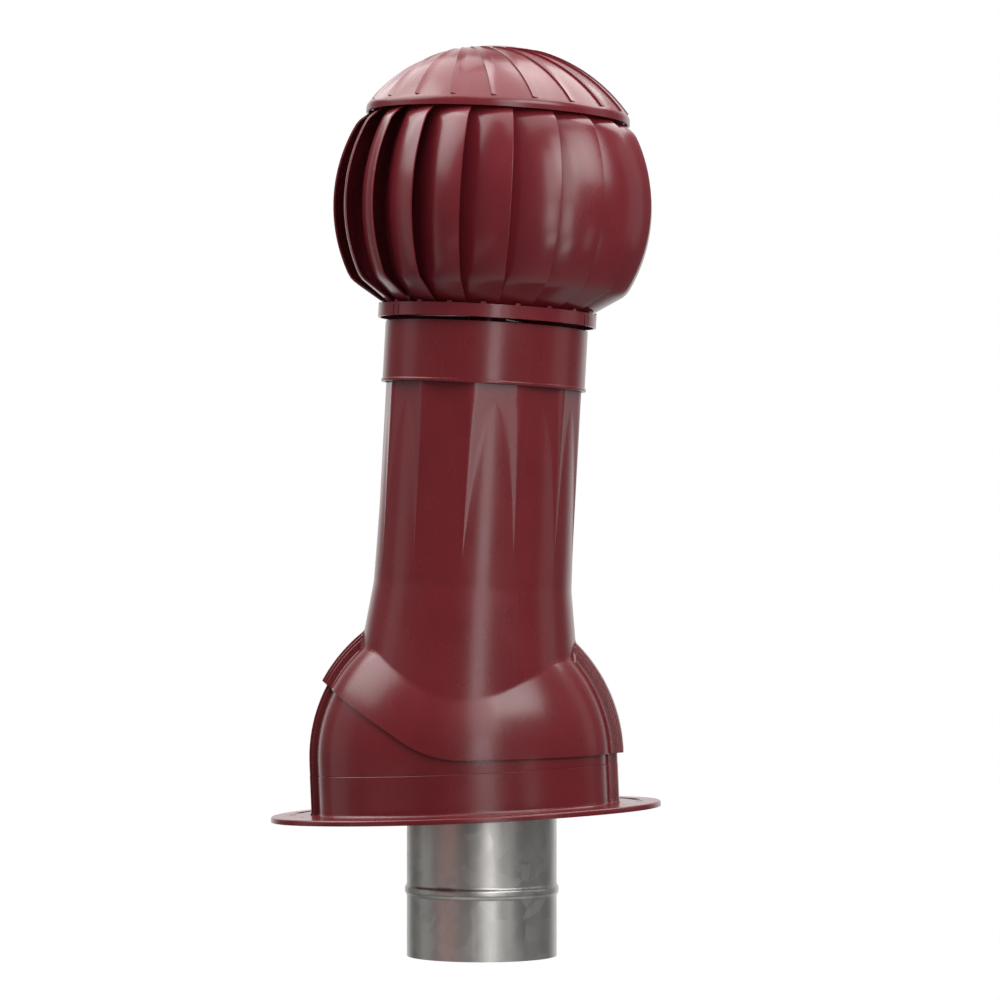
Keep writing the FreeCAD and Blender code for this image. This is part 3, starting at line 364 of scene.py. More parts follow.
def edit_edges(shape, wanted):
    """Opens the shape for editing with the edges selected whose ends both pass a test."""
    deselect_mesh(shape)
    vertices = shape.data.vertices
    for edge in shape.data.edges:
        edge.select = all(wanted(vertices[end]) for end in edge.vertices)
    bpy.context.tool_settings.mesh_select_mode = (False, True, False)
    bpy.ops.object.mode_set(mode="EDIT")


def deselect_mesh(shape):
    """Leaves nothing selected inside a mesh."""
    for parts in (shape.data.vertices, shape.data.edges, shape.data.polygons):
        parts.foreach_set("select", [False] * len(parts))


def leave_edit():
    """Closes the edit."""
    bpy.ops.object.mode_set(mode="OBJECT")


def settle(shape):
    """Puts the shape's place into its mesh."""
    select_only(shape)
    bpy.ops.object.transform_apply(location=True, rotation=True, scale=True)


def tidy_mesh(shape, reach=0.00002):
    """Merges doubles and turns all faces outwards."""
    settle(shape)
    edit()
    bpy.ops.mesh.remove_doubles(threshold=reach)
    bpy.ops.mesh.normals_make_consistent(inside=False)
    leave_edit()


def apply_modifier(shape, kind, **settings):
    """Adds one modifier with its settings and applies it."""
    select_only(shape)
    modifier = shape.modifiers.new(kind.lower(), kind)
    for label, value in settings.items():
        setattr(modifier, label, value)
    bpy.ops.object.modifier_apply(modifier=modifier.name)


def thicken(shape, wall, even=True):
    """Gives an open sheet its wall in millimetres, inwards from its outside."""
    apply_modifier(shape, "SOLIDIFY", thickness=wall * MM, offset=-1.0, use_even_offset=even)


def ease_edges(shape, width, angle=50.0, segments=2):
    """Rounds the sharp edges by a width in millimetres, as a mould does."""
    apply_modifier(shape, "BEVEL", width=width * MM, segments=segments, limit_method="ANGLE",
                   angle_limit=math.radians(angle), use_clamp_overlap=True)


def smooth(shape, angle):
    """Smooth shading up to an angle between faces, led by the large faces."""
    select_only(shape)
    bpy.ops.object.shade_smooth_by_angle(angle=math.radians(angle))
    apply_modifier(shape, "WEIGHTED_NORMAL", keep_sharp=True)


def cut_with(shape, cutter):
    """Cuts one closed shape out of another."""
    apply_modifier(shape, "BOOLEAN", operation="DIFFERENCE", solver="EXACT", object=cutter)
    bpy.data.objects.remove(cutter)


def join_shapes(name, shapes):
    """Makes one piece of several shapes."""
    start_shape()
    for shape in shapes:
        shape.select_set(True)
    bpy.context.view_layer.objects.active = shapes[0]
    bpy.ops.object.join()
    shapes[0].name = name
    return shapes[0]


def draw_line(name, points):
    """A line drawn point by point from one vertex."""
    start_shape()
    bpy.ops.mesh.primitive_plane_add(size=MM, location=points[0])
    shape = bpy.context.object
    shape.name = name
    edit()
    bpy.ops.mesh.merge(type="CENTER")
    for near, far in zip(points, points[1:]):
        bpy.ops.mesh.extrude_vertices_move(TRANSFORM_OT_translate={"value": far - near})
    leave_edit()
    return shape


def spin_line(shape, centre, axis, angle, steps):
    """Spins a drawn line about an axis into a surface."""
    edit()
    bpy.ops.mesh.spin(steps=steps, angle=angle, center=centre, axis=axis)
    leave_edit()
    tidy_mesh(shape)
    return shape


def turned(name, home, corners, steps):
    """A ring or tube turned about a frame's Z from (radius, height, corner round) in millimetres."""
    flat = rounded(corners)
    points = [home @ Vector((radius * MM, 0.0, height * MM)) for radius, height in flat + flat[:1]]
    shape = draw_line(name, points)
    axis = home.to_3x3() @ Vector((0.0, 0.0, 1.0))
    return spin_line(shape, home @ Vector((0.0, 0.0, 0.0)), axis, 2 * math.pi, steps)


def rounded(corners, steps=3, closed=True):
    """Points of an outline whose corners are rounded by their third number."""
    points = []
    last = len(corners) - 1
    for index, (along, aside, reach) in enumerate(corners):
        here = Vector((along, aside))
        if reach <= 0 or (not closed and index in (0, last)):
            points.append(here)
            continue
        before = Vector(corners[index - 1][:2])
        after = Vector(corners[(index + 1) % len(corners)][:2])
        near = here + (before - here).normalized() * reach
        far = here + (after - here).normalized() * reach
        for step in range(steps + 1):
            share = step / steps
            points.append(near * (1 - share) ** 2 + here * (2 * share * (1 - share)) + far * share ** 2)
    return points


def sheet_by_rule(name, columns, rows, rule):
    """A grid whose vertices go to the places that a rule gives for a column and a row."""
    start_shape()
    bpy.ops.mesh.primitive_grid_add(x_subdivisions=columns, y_subdivisions=rows, size=1.0)
    shape = bpy.context.object
    shape.name = name
    for vertex in shape.data.vertices:
        column = round((vertex.co.x + 0.5) * columns)
        row = round((vertex.co.y + 0.5) * rows)
        vertex.co = rule(column, row)
    return shape


def block_by_outline(name, outline, low, high):
    """An upright block over an outline of (x, y) millimetres, used as a cutter or a boss."""
    start_shape()
    bpy.ops.mesh.primitive_circle_add(vertices=len(outline), radius=1.0, fill_type="NGON")
    shape = bpy.context.object
    shape.name = name
    for vertex, (x, y) in zip(shape.data.vertices, outline):
        vertex.co = Vector((x * MM, y * MM, low * MM))
    edit("FACE")
    bpy.ops.mesh.extrude_region_move(TRANSFORM_OT_translate={"value": (0.0, 0.0, (high - low) * MM)})
    leave_edit()
    tidy_mesh(shape)
    return shape


def finish_piece(shape, body, slot, *nodes, angle=32.0):
    """Material and shading of one finished piece, which goes under its body and hides the CAD parts that it
    stands for.
    """
    shape.data.materials.clear()
    shape.data.materials.append(SLOT_LOOKS[slot])
    smooth(shape, angle)
    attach(shape, body)
    if nodes:
        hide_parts(*nodes)


# Outlines of the hood and the flange


def oval_arcs(length, reach):
    """Radii of the two arcs that make an oval quarter, and the direction where they meet."""
    shoulder = reach ** 2 / length
    tip = length * (length + reach) / (2 * reach)
    meet = math.atan2((length + 2 * reach) / (2 * reach), (length + reach) / length)
    return shoulder, tip, meet


def round_end(length, reach, margin, flat, turn):
    """A point of an oval quarter at a margin inside it, from its outward direction."""
    shoulder, tip, meet = oval_arcs(length, reach)
    way = Vector((math.cos(turn), math.sin(turn)))
    if turn < meet:
        place = Vector((length - shoulder, 0.0)) + way * (shoulder - margin)
    else:
        place = Vector((0.0, reach - tip)) + way * (tip - margin)
    return place.x, flat + place.y


def half_profile(margin, stairs):
    """(radius, side) points from the band's middle to the tip: stairs, crease and rounded end."""
    corners = []
    stair_round, inner_round = 0.9, 0.7
    body = HOOD_RADIUS - margin
    band_half = stairs[-1][0]
    levels = [radius for _, radius in stairs[1:]] + [body]
    for (half, radius), below in zip(stairs, levels):
        corners.append((radius, half, stair_round))
        corners.append((below, half, CREASE_ROUND if below == body else inner_round))
    crease_run, shoulder_radius, end_steps = 3.2, 70.0, 25
    first = 0.0
    if band_half > FLAT_HALF - 3:
        first = math.asin((band_half - FLAT_HALF + crease_run) / shoulder_radius)
    line = [(stairs[0][1], 0.0, 0)] + corners + [(body, band_half + 8.0, 0)]
    points = rounded(line, closed=False)[:-1]
    for step in range(end_steps + 1):
        turn = first + (math.pi / 2 - first) * step / end_steps
        points.append(Vector(round_end(HOOD_RADIUS, HOOD_REACH, margin, FLAT_HALF, turn)))
    return [Vector((max(point.x, 0.0), point.y)) for point in points]


def profile_places(home, half, start):
    """The whole profile in space, at a starting angle above the X axis."""
    whole = [Vector((point.x, -point.y)) for point in reversed(half[1:])] + half
    return [home @ Vector((point.x * MM * math.cos(start), point.y * MM, point.x * MM * math.sin(start)))
            for point in whole]


# Hood: a round body that tilts on the base shell


def make_hood():
    """The hood's shell, cut along its hem and open where the stack stands on it."""
    overlap, turn_steps = 4.0, 94
    half = half_profile(0.0, HOOD_STAIRS)
    hood = draw_line("hood_shell", profile_places(STACK, half, math.radians(-overlap)))
    spin_line(hood, PIVOT, PITCH_AXIS, math.radians(180.0 + 2 * overlap), turn_steps)
    left, right = math.radians(29.75), math.radians(4.23)
    hem_corner, hem_round, hem_steps = Vector((-25.6, 0.0, 0.0)), 108.0, 12
    to_left = Vector((-math.cos(left), 0, math.sin(left)))
    to_right = Vector((math.cos(right), 0, math.sin(right)))
    bisector = (to_left + to_right).normalized()
    centre = hem_corner + bisector * (hem_round / math.cos((left + right) / 2))
    first, last = math.radians(-90.0) - left, math.radians(-90.0) + right
    for step in range(hem_steps + 1):
        turn = first + (last - first) * step / hem_steps
        way = Vector((math.cos(turn), 0.0, math.sin(turn)))
        place = STACK @ ((centre + way * hem_round) * MM)
        normal = STACK.to_3x3() @ (-way)
        edit()
        bpy.ops.mesh.bisect(plane_co=place, plane_no=normal, clear_inner=True)
        leave_edit()
    open_throat(hood)
    thicken(hood, WALL, False)
    ease_edges(hood, 0.8, 60.0, 3)
    return hood


def stack_gap(place):
    """How far a place lies outside the stack's flare, and the place in the stack frame, in millimetres."""
    local = (STACK.inverted() @ place) / MM
    return math.hypot(local.x, local.y) - flare_radius(local.z), local


def open_throat(hood):
    """Opens the hood under the stack and lays the opening's rim inside the stack's wall."""
    kept_inside, rim_reach, hood_floor, rim_depth = 3.0, 7.0, 40.0, 1.2
    edit_faces(hood, lambda polygon: stack_gap(polygon.center)[0] < -kept_inside)
    bpy.ops.mesh.delete(type="FACE")
    leave_edit()
    uses = {}
    for polygon in hood.data.polygons:
        for key in polygon.edge_keys:
            uses[key] = uses.get(key, 0) + 1
    rim = {end for key, count in uses.items() if count == 1 for end in key}
    for index in rim:
        gap, local = stack_gap(hood.data.vertices[index].co)
        if gap > rim_reach or local.z < hood_floor:
            continue
        angle = math.atan2(local.y, local.x)
        height = local.z
        for _ in range(12):
            radius = flare_radius(height) - rim_depth
            height = 0.5 * height + 0.5 * hood_height(radius * math.cos(angle), radius * math.sin(angle))
        spot = Vector((radius * math.cos(angle), radius * math.sin(angle), height))
        hood.data.vertices[index].co = STACK @ (spot * MM)


# Stack


def flare_radius(height):
    """Outer radius of the stack below its kink."""
    return KINK_RADIUS + (KINK - height) * math.tan(FLARE_SLOPE)


def cone_radius(height):
    """Outer radius of the round part above the kink."""
    return KINK_RADIUS - (height - KINK) * (KINK_RADIUS - PANEL_FLAT) / (PANEL_APEX - KINK)


def stack_radius(height, off_flat):
    """Outer radius at an angle away from the middle of a flat."""
    if height < KINK:
        return flare_radius(height)
    return max(cone_radius(height), PANEL_FLAT / math.cos(math.radians(off_flat)))


def eased_radius(height, off_flat):
    """The stack's radius with its kink drawn out over a few millimetres."""
    ease = 3
    if abs(height - KINK) > 14.0:
        return stack_radius(height, off_flat)
    shifts = range(-ease, ease + 1)
    return sum(stack_radius(height + shift, off_flat) for shift in shifts) / len(shifts)


def arch_half_angle(height):
    """Half the angle that the arch of a panel takes up at a height."""
    narrow, wide, widening_run, least = 7.5, 14.4, 27.0, 0.5
    round_radius = cone_radius(height)
    if round_radius >= PANEL_CORNER:
        return narrow + (wide - narrow) * max(0.0, min(1.0, (height - KINK) / widening_run))
    return min(wide, max(least, math.degrees(math.acos(min(1.0, PANEL_FLAT / round_radius)))))


def panel_angle(column, height):
    """Angle round the stack of a column, so that columns follow the arches' edges."""
    panel, place = divmod(column, PANEL_COLUMNS)
    side = PANEL_COLUMNS // 4
    half = PANEL_STEP / 2
    arch = arch_half_angle(height)
    if place <= side:
        off = -half + (half - arch) * place / side
    elif place <= 3 * side:
        off = -arch + 2 * arch * (place - side) / (2 * side)
    else:
        off = arch + (half - arch) * (place - 3 * side) / side
    return PANEL_TURN + PANEL_STEP * panel + off, off


def hood_height(along, aside):
    """Height of the hood's outside over a place in the stack frame."""
    side = abs(aside)
    radius = hood_radius(side)
    if radius <= abs(along):
        return 0.0
    return math.sqrt(radius ** 2 - along ** 2)


def hood_radius(side):
    """The hood's radius about the pitch axis at a distance from its middle."""
    for half, radius in HOOD_STAIRS:
        if side < half:
            return radius
    shoulder, tip, meet = oval_arcs(HOOD_RADIUS, HOOD_REACH)
    out = side - FLAT_HALF
    if out < shoulder * math.sin(meet):
        return HOOD_RADIUS - shoulder + math.sqrt(shoulder ** 2 - out ** 2)
    rest = tip ** 2 - (out - HOOD_REACH + tip) ** 2
    return math.sqrt(rest) if rest > 0 else 0.0


def foot_curve(turn):
    """Where the stack meets the hood at an angle: the meeting point and the ends of its fillet."""
    angle = math.radians(turn - 90.0)
    cosine, sine = math.cos(angle), math.sin(angle)
    height = 90.0
    for _ in range(60):
        radius = flare_radius(height)
        height = 0.6 * height + 0.4 * hood_height(radius * cosine, radius * sine)
    radius = flare_radius(height)
    upper = (radius - FOOT_ROUND * math.sin(FLARE_SLOPE), height + FOOT_ROUND * math.cos(FLARE_SLOPE))
    probe = 4.0
    far = hood_height((radius + probe) * cosine, (radius + probe) * sine)
    fall = math.atan2(max(0.0, height - far), probe)
    out = radius + FOOT_ROUND * math.cos(fall)
    lower = (out, hood_height(out * cosine, out * sine) - 0.15)
    return (radius, height), upper, lower


def make_stack():
    """The stack's wall: arched panels above, a flare below and a rounded foot on the hood."""
    flare_row, kink_row, panel_row, kink_reach = 7, 20, 30, 10.0
    feet = {}

    def rule(column, row):
        column %= STACK_COLUMNS
        turn = panel_angle(column, KINK - 40.0)[0]
        if column not in feet:
            feet[column] = foot_curve(turn)
        meeting, upper, lower = feet[column]
        if row >= kink_row:
            if row < panel_row:
                height = KINK - kink_reach + 2 * kink_reach * (row - kink_row) / (panel_row - kink_row)
            else:
                share = (row - panel_row) / (STACK_ROWS - panel_row)
                height = KINK + kink_reach + (STACK_TOP - KINK - kink_reach) * share
            turn, off = panel_angle(column, height)
            radius = eased_radius(height, off)
        elif row >= flare_row:
            share = (row - flare_row) / (kink_row - flare_row)
            height = upper[1] + (KINK - kink_reach - upper[1]) * share
            radius = eased_radius(height, 0.0)
        elif row >= 1:
            share = (row - 1) / (flare_row - 1)
            radius, height = (Vector(lower) * (1 - share) ** 2 + Vector(meeting) * (2 * share * (1 - share))
                              + Vector(upper) * share ** 2)
        else:
            radius, height = lower[0] - 0.3, lower[1] - 0.5
        angle = math.radians(turn - 90.0)
        return STACK @ Vector((radius * math.cos(angle) * MM, radius * math.sin(angle) * MM, height * MM))

    stack = sheet_by_rule("stack_wall", STACK_COLUMNS, STACK_ROWS, rule)
    tidy_mesh(stack)
    thicken(stack, WALL, False)
    return stack


# Base shell and roof flange


def over_slot(polygon):
    """Whether a face lies over the slot that the duct swings in."""
    place = polygon.center - PIVOT
    half_angle, half_width = math.radians(55.0), 80.0 * MM
    return abs(math.atan2(place.x, place.z)) < half_angle and abs(place.y) < half_width


def make_base_shell():
    """The round shell that carries the hood, with its upright skirt."""
    half = half_profile(BASE_MARGIN, BASE_STAIRS)
    shell = draw_line("base_shell", profile_places(Matrix.Translation(PIVOT), half, 0.0))
    spin_line(shell, PIVOT, PITCH_AXIS, math.pi, 72)
    edit_faces(shell, over_slot)
    bpy.ops.mesh.delete(type="FACE")
    leave_edit()
    edit_edges(shell, lambda vertex: abs(vertex.co.z - PIVOT.z) < 1e-5)
    parting_line = ((11.2, 1.0), (0.5, 0.9975), (0.5, 1.0035))
    foot = ((30.0, 1.0), (6.0, 1.0), (1.6, 1.0015), (1.2, 1.005), (0.8, 1.009))
    for drop, growth in parting_line + foot:
        bpy.ops.mesh.extrude_edges_move(TRANSFORM_OT_translate={"value": (0.0, 0.0, -drop * MM)})
        bpy.ops.transform.resize(value=(growth, growth, 1.0), center_override=PIVOT)
    leave_edit()
    tidy_mesh(shell)
    thicken(shell, WALL)
    ease_edges(shell, 0.5, 60.0)
    return shell


def quarter_of(turn):
    """The direction in the first quarter that mirrors a direction."""
    return math.atan2(abs(math.sin(turn)), abs(math.cos(turn)))


def in_quarter(along, aside, height, turn):
    """A point of the first quarter, mirrored into the quarter of a direction."""
    return Vector((math.copysign(along, math.cos(turn)), math.copysign(aside, math.sin(turn)), height))


def flange_place(turn, margin, height):
    """A point on the flange's oval at a margin inside it, from its outward direction."""
    along, aside = round_end(FLANGE_LENGTH, FLANGE_WIDTH, margin, 0.0, quarter_of(turn))
    return in_quarter(along, aside, height, turn)


def skirt_place(turn, height):
    """A point inside the skirt's wall, from the same direction."""
    margin, opening_out, band_half, band_radius = 4.6, 0.25, 17.3, 149.4
    quarter = quarter_of(turn)
    along, aside = round_end(HOOD_RADIUS, HOOD_REACH, margin, 0.0, quarter)
    aside += FLAT_HALF * min(1.0, quarter / opening_out)
    if aside < band_half:
        along = band_radius
    return in_quarter(along, aside, height, turn)


def make_flange():
    """The oval plate with its rounded edge, gasket groove and screw holes."""
    top = FLANGE_THICKNESS
    rim = [
        (0.5, 0.0), (0.12, 0.15), (0.0, 0.6), (0.0, 3.5),
        (0.15, 4.27), (0.59, 4.91), (1.23, 5.35), (2.0, top),
    ]
    groove = [(12.0, 0.0), (12.0, 2.0), (4.0, 2.0), (4.0, 0.0)]
    # The two places left open lie against the skirt, above and below
    section = rim + [(8.0, top), (20.0, top), None, None] + groove
    around, across = 192, len(section)
    upper_open = section.index(None)
    start_shape()
    bpy.ops.mesh.primitive_torus_add(
        major_segments=around, minor_segments=across, major_radius=0.2, minor_radius=0.02,
    )
    flange = bpy.context.object
    flange.name = "roof_flange"
    for index, vertex in enumerate(flange.data.vertices):
        turn = 2 * math.pi * (index // across + 0.5) / around
        spot = section[index % across]
        if spot is None:
            height = top if index % across == upper_open else 0.0
            vertex.co = skirt_place(turn, height) * MM
        else:
            vertex.co = flange_place(turn, *spot) * MM
    tidy_mesh(flange, 0.000001)
    for cutter in flange_cutters():
        cut_with(flange, cutter)
    tidy_mesh(flange, 0.00001)
    ease_edges(flange, 0.35, 60.0, 1)
    edit()
    bpy.ops.mesh.dissolve_degenerate(threshold=0.00003)
    bpy.ops.mesh.select_all(action="SELECT")
    bpy.ops.mesh.fill_holes(sides=8)
    leave_edit()
    tidy_mesh(flange, 0.00003)
    return flange


def circle_outline(x, y, radius, count=32):
    """Points of a circle."""
    turns = [2 * math.pi * step / count for step in range(count)]
    return [(x + radius * math.cos(turn), y + radius * math.sin(turn)) for turn in turns]


def flange_cutters():
    """Screw holes, pilot holes and curved slots near both ends."""
    below, above = -5, 12
    screw_margin, screw_radius = 21.5, 4.0
    pilot_margin, pilot_aside, pilot_radius = 36.0, -46.0, 1.7
    cutters = []
    for side in (-1, 1):
        screw = circle_outline(side * (FLANGE_LENGTH - screw_margin), 0.0, screw_radius)
        pilot = circle_outline(side * (FLANGE_LENGTH - pilot_margin), pilot_aside, pilot_radius, 20)
        for name, outline in (("screw_hole", screw), ("pilot_hole", pilot), ("rim_slot", slot_outline(side))):
            cutters.append(block_by_outline(name, outline, below, above))
    return cutters


def slot_outline(side):
    """A curved slot with round ends that follows the flange's edge."""
    half_width, slot_margin, slot_near, slot_far = 4.0, 21.0, 28.0, 72.0
    shoulder = oval_arcs(FLANGE_LENGTH, FLANGE_WIDTH)[0]
    middle = shoulder - slot_margin
    first, last = math.asin(slot_near / middle), math.asin(slot_far / middle)
    centre = FLANGE_LENGTH - shoulder
    points = []
    for out, way in ((half_width, 1), (-half_width, -1)):
        for step in range(13):
            share = step / 12 if way > 0 else 1 - step / 12
            turn = first + (last - first) * share
            points.append((centre + (middle + out) * math.cos(turn), (middle + out) * math.sin(turn)))
        end = last if way > 0 else first
        hub = (centre + middle * math.cos(end), middle * math.sin(end))
        for step in range(1, 8):
            turn = end + (0.0 if way > 0 else math.pi) + math.pi * step / 8
            points.append((hub[0] + half_width * math.cos(turn), hub[1] + half_width * math.sin(turn)))
    return [(side * x, y) for x, y in points]


# Turbine blades


def blade_line():
    """Evenly spaced (radius, height, tuck) of a blade's outer edge, its corners drawn out."""
    bow_radius, bow_height, bow_steps = 161.0, 551.6, 24
    low, high = 30.04, 29.14
    foot_radius, foot_height = 103.2, 448.4
    head_rise, head_slope = 12.6, math.radians(37.4)
    end_tuck, side_tuck, extra_tuck = 9.0, 27.0, 6.0
    corners = [(foot_radius, foot_height, end_tuck)]
    for step in range(bow_steps + 1):
        share = step / bow_steps
        angle = math.radians(-low + (low + high) * share)
        tuck = side_tuck + extra_tuck * (1 - (2 * share - 1) ** 2)
        corners.append((bow_radius * math.cos(angle), bow_height + bow_radius * math.sin(angle), tuck))
    top_radius, top_height = corners[-1][:2]
    corners.append((top_radius - head_rise / math.tan(head_slope), top_height + head_rise, end_tuck))
    spacing, window_half = 0.8, 7
    dense = []
    for near, far in zip(corners, corners[1:]):
        near, far = Vector(near), Vector(far)
        count = max(2, int((far - near).length / spacing))
        dense += [near.lerp(far, step / count) for step in range(count)]
    dense.append(Vector(corners[-1]))
    soft = []
    for index in range(len(dense)):
        reach = min(window_half, index, len(dense) - 1 - index)
        window = dense[index - reach:index + reach + 1]
        soft.append(sum(window, Vector((0, 0, 0))) / len(window))
    return soft


def make_first_blade():
    """One blade: a bowed sheet between its proud outer edge and its tucked inner edge."""
    line = blade_line()
    columns, rows, sweep = 12, 44, 26.0

    def rule(column, row):
        share = row / rows
        place = share * (len(line) - 1)
        index = min(int(place), len(line) - 2)
        radius, height, tuck = line[index].lerp(line[index + 1], place - index)
        across = column / columns
        turn = math.radians(-90.0 - sweep * across)
        out = radius - tuck * (0.56 * across + 0.44 * across ** 2)
        return Vector((out * math.cos(turn) * MM, out * math.sin(turn) * MM, height * MM))

    blade = sheet_by_rule("blade_sheet", columns, rows, rule)
    tidy_mesh(blade)
    if sum(polygon.normal.xy.dot(polygon.center.xy) for polygon in blade.data.polygons) < 0:
        edit("FACE")
        bpy.ops.mesh.flip_normals()
        leave_edit()
    thicken(blade, BLADE_WALL)
    ease_edges(blade, 0.5, 60.0)
    return blade


def make_blades():
    """Twenty blades round the rotor, each with its own mesh."""
    first = make_first_blade()
    for number in range(BLADE_COUNT):
        blade = first.copy()
        blade.data = first.data.copy()
        blade.name = f"blade_{number + 1:02d}_moulded"
        bpy.context.scene.collection.objects.link(blade)
        turn = math.radians(BLADE_TURN + BLADE_STEP * number)
        blade.matrix_world = STACK @ Matrix.Rotation(turn, 4, "Z")
        settle(blade)
        finish_piece(blade, "rotor", "rotor_plastic", f"blade_{number + 1:02d}")
    bpy.data.objects.remove(first)


# Cap


def cap_height(radius):
    """Height of the dome over a distance from the axis."""
    return CAP_CENTRE + math.sqrt(CAP_RADIUS ** 2 - radius ** 2)


def cap_rows():
    """(radius, height, rib share) down the cap, from its top to its rim's foot."""
    rows = [(radius, cap_height(radius), 0.0) for radius in (1.2, 8.0, 16.0, 24.0, 32.0, 39.0)]
    rows.append((RIB_START, cap_height(RIB_START), 0.35))
    rows.append((RIB_START + 4.0, cap_height(RIB_START + 4.0), 0.8))
    full_rib, rib_steps = RIB_START + 8.0, 18
    for step in range(rib_steps + 1):
        radius = full_rib + (RIB_END - full_rib) * step / rib_steps
        rows.append((radius, cap_height(radius), 1.0))
    rows.append((RIB_END + 0.03, cap_height(RIB_END + 0.03), 0.0))
    rim_round, rim_steps = 8.0, 6
    rim = CAP_RIM - rim_round
    middle = CAP_CENTRE + math.sqrt((CAP_RADIUS - rim_round) ** 2 - rim ** 2)
    first = math.atan2(middle - CAP_CENTRE, rim)
    for step in range(rim_steps + 1):
        turn = first * (1 - step / rim_steps)
        rows.append((rim + rim_round * math.cos(turn), middle + rim_round * math.sin(turn), 0.0))
    rows += [(CAP_RIM, middle - 1.6, 0.0), (CAP_RIM, CAP_FOOT, 0.0)]
    return rows


def make_cap():
    """The domed cap with its swirling saw-tooth ribs and rounded rim."""
    rows = cap_rows()
    per_rib, tooth_gap = 9, 0.03
    # Each rib's two edges run along straight lines that pass the axis at these distances
    step_line, flat_line = 37.0, 31.0
    cap_turn = 180.0 - 1.4

    def rule(column, row):
        radius, height, ribs = rows[row]
        rib, place = divmod(column, per_rib)
        reach = max(radius, RIB_START)
        step_angle = math.acos(step_line / reach)
        flat_angle = math.acos(flat_line / reach)
        next_step = step_angle + math.radians(BLADE_STEP) - tooth_gap / reach
        shares = ((step_angle, 1.0), (0.5 * (step_angle + flat_angle), 0.5), (flat_angle, 0.0))
        if place < 3:
            turn, rise = shares[place]
        else:
            turn, rise = flat_angle + (next_step - flat_angle) * (place - 2) / (per_rib - 3), 0.0
        turn += math.radians(cap_turn + BLADE_STEP * rib)
        out = radius + RIB_RISE * rise * ribs * radius / CAP_RADIUS
        up = height + RIB_RISE * rise * ribs * (height - CAP_CENTRE) / CAP_RADIUS
        return STACK @ Vector((out * math.cos(turn) * MM, out * math.sin(turn) * MM, up * MM))

    cap = sheet_by_rule("domed_cap", BLADE_COUNT * per_rib, len(rows) - 1, rule)
    tidy_mesh(cap, 0.000008)
    top = STACK @ Vector((0.0, 0.0, cap_height(0.0) * MM))
    edit_edges(cap, lambda vertex: (vertex.co - top).length < 0.004)
    bpy.ops.mesh.edge_face_add()
    leave_edit()
    thicken(cap, CAP_WALL, False)
    posts = [cap_post((number + 0.5) * 360.0 / POST_COUNT) for number in range(POST_COUNT)]
    return join_shapes("domed_cap", [cap] + posts)


def cap_post(turn):
    """A screw post under the cap, its top just under the dome's outside."""
    start_shape()
    low, high, depth_under = CAP_FOOT + 5.6, cap_height(POST_CIRCLE), 1.2
    bpy.ops.mesh.primitive_cylinder_add(vertices=24, radius=POST_RADIUS * MM, depth=(high - low) * MM)
    post = bpy.context.object
    for vertex in post.data.vertices:
        if vertex.co.z > 0.0:
            reach = math.hypot(POST_CIRCLE + vertex.co.x / MM, vertex.co.y / MM)
            vertex.co.z = (cap_height(reach) - depth_under - (low + high) / 2) * MM
    spin = Matrix.Rotation(math.radians(turn), 4, "Z")
    post.matrix_world = STACK @ spin @ Matrix.Translation((POST_CIRCLE * MM, 0.0, (low + high) / 2 * MM))
    settle(post)
    ease_edges(post, 0.4, 60.0)
    return post


# Neck collar


def make_collar():
    """The sleeve over the stack's top, with a rounded lip below that three gaps break."""
    inner, outer, lip, low, high = 98.9, 101.6, 102.8, 371.0, 432.0
    lip_top, shoulder, shoulder_top = low + 3.5, inner - 6.0, COLLAR_SEAT + 3.0
    sleeve = turned("neck_sleeve", STACK, [
        (inner, low, 0.3), (lip, low, 1.1), (lip, lip_top, 1.1), (outer, lip_top, 0.1), (outer, high, 0.6),
        (inner, high, 0.5), (inner, shoulder_top, 0.3), (shoulder, shoulder_top, 0.4),
        (shoulder, COLLAR_SEAT, 0.4), (inner, COLLAR_SEAT, 0.0),
    ], 144)
    gap_count, gap_turn, gap_half, gap_steps = 3, -92.8, 7.6, 12
    for number in range(gap_count):
        outline = []
        for radius, way in ((outer + 0.05, 1), (lip + 2.0, -1)):
            for step in range(gap_steps + 1):
                turn = math.radians(way * (gap_half - 2 * gap_half * step / gap_steps))
                outline.append((radius * math.cos(turn), radius * math.sin(turn)))
        cutter = block_by_outline("lip_gap", outline, low - 2.0, lip_top + 0.2)
        turn = math.radians(360.0 / gap_count * number + gap_turn)
        cutter.matrix_world = STACK @ Matrix.Rotation(turn, 4, "Z")
        settle(cutter)
        cut_with(sleeve, cutter)
    return sleeve


# Lower rotor ring: its solid's shape, with its edges rounded


def eased_copy(node_name, width):
    """A merged copy of a solid with its edges rounded as a mould leaves them."""
    node = NODES[node_name]
    copy = node.copy()
    copy.data = node.data.copy()
    copy.name = node_name + "_eased"
    copy.parent = None
    copy.matrix_world = Matrix.Identity(4)
    bpy.context.scene.collection.objects.link(copy)
    select_only(copy)
    edit()
    bpy.ops.mesh.remove_doubles(threshold=0.00001)
    bpy.ops.mesh.dissolve_limited(angle_limit=math.radians(0.5), delimit=set())
    leave_edit()
    ease_edges(copy, width, 40.0)
    return copy


# Duct


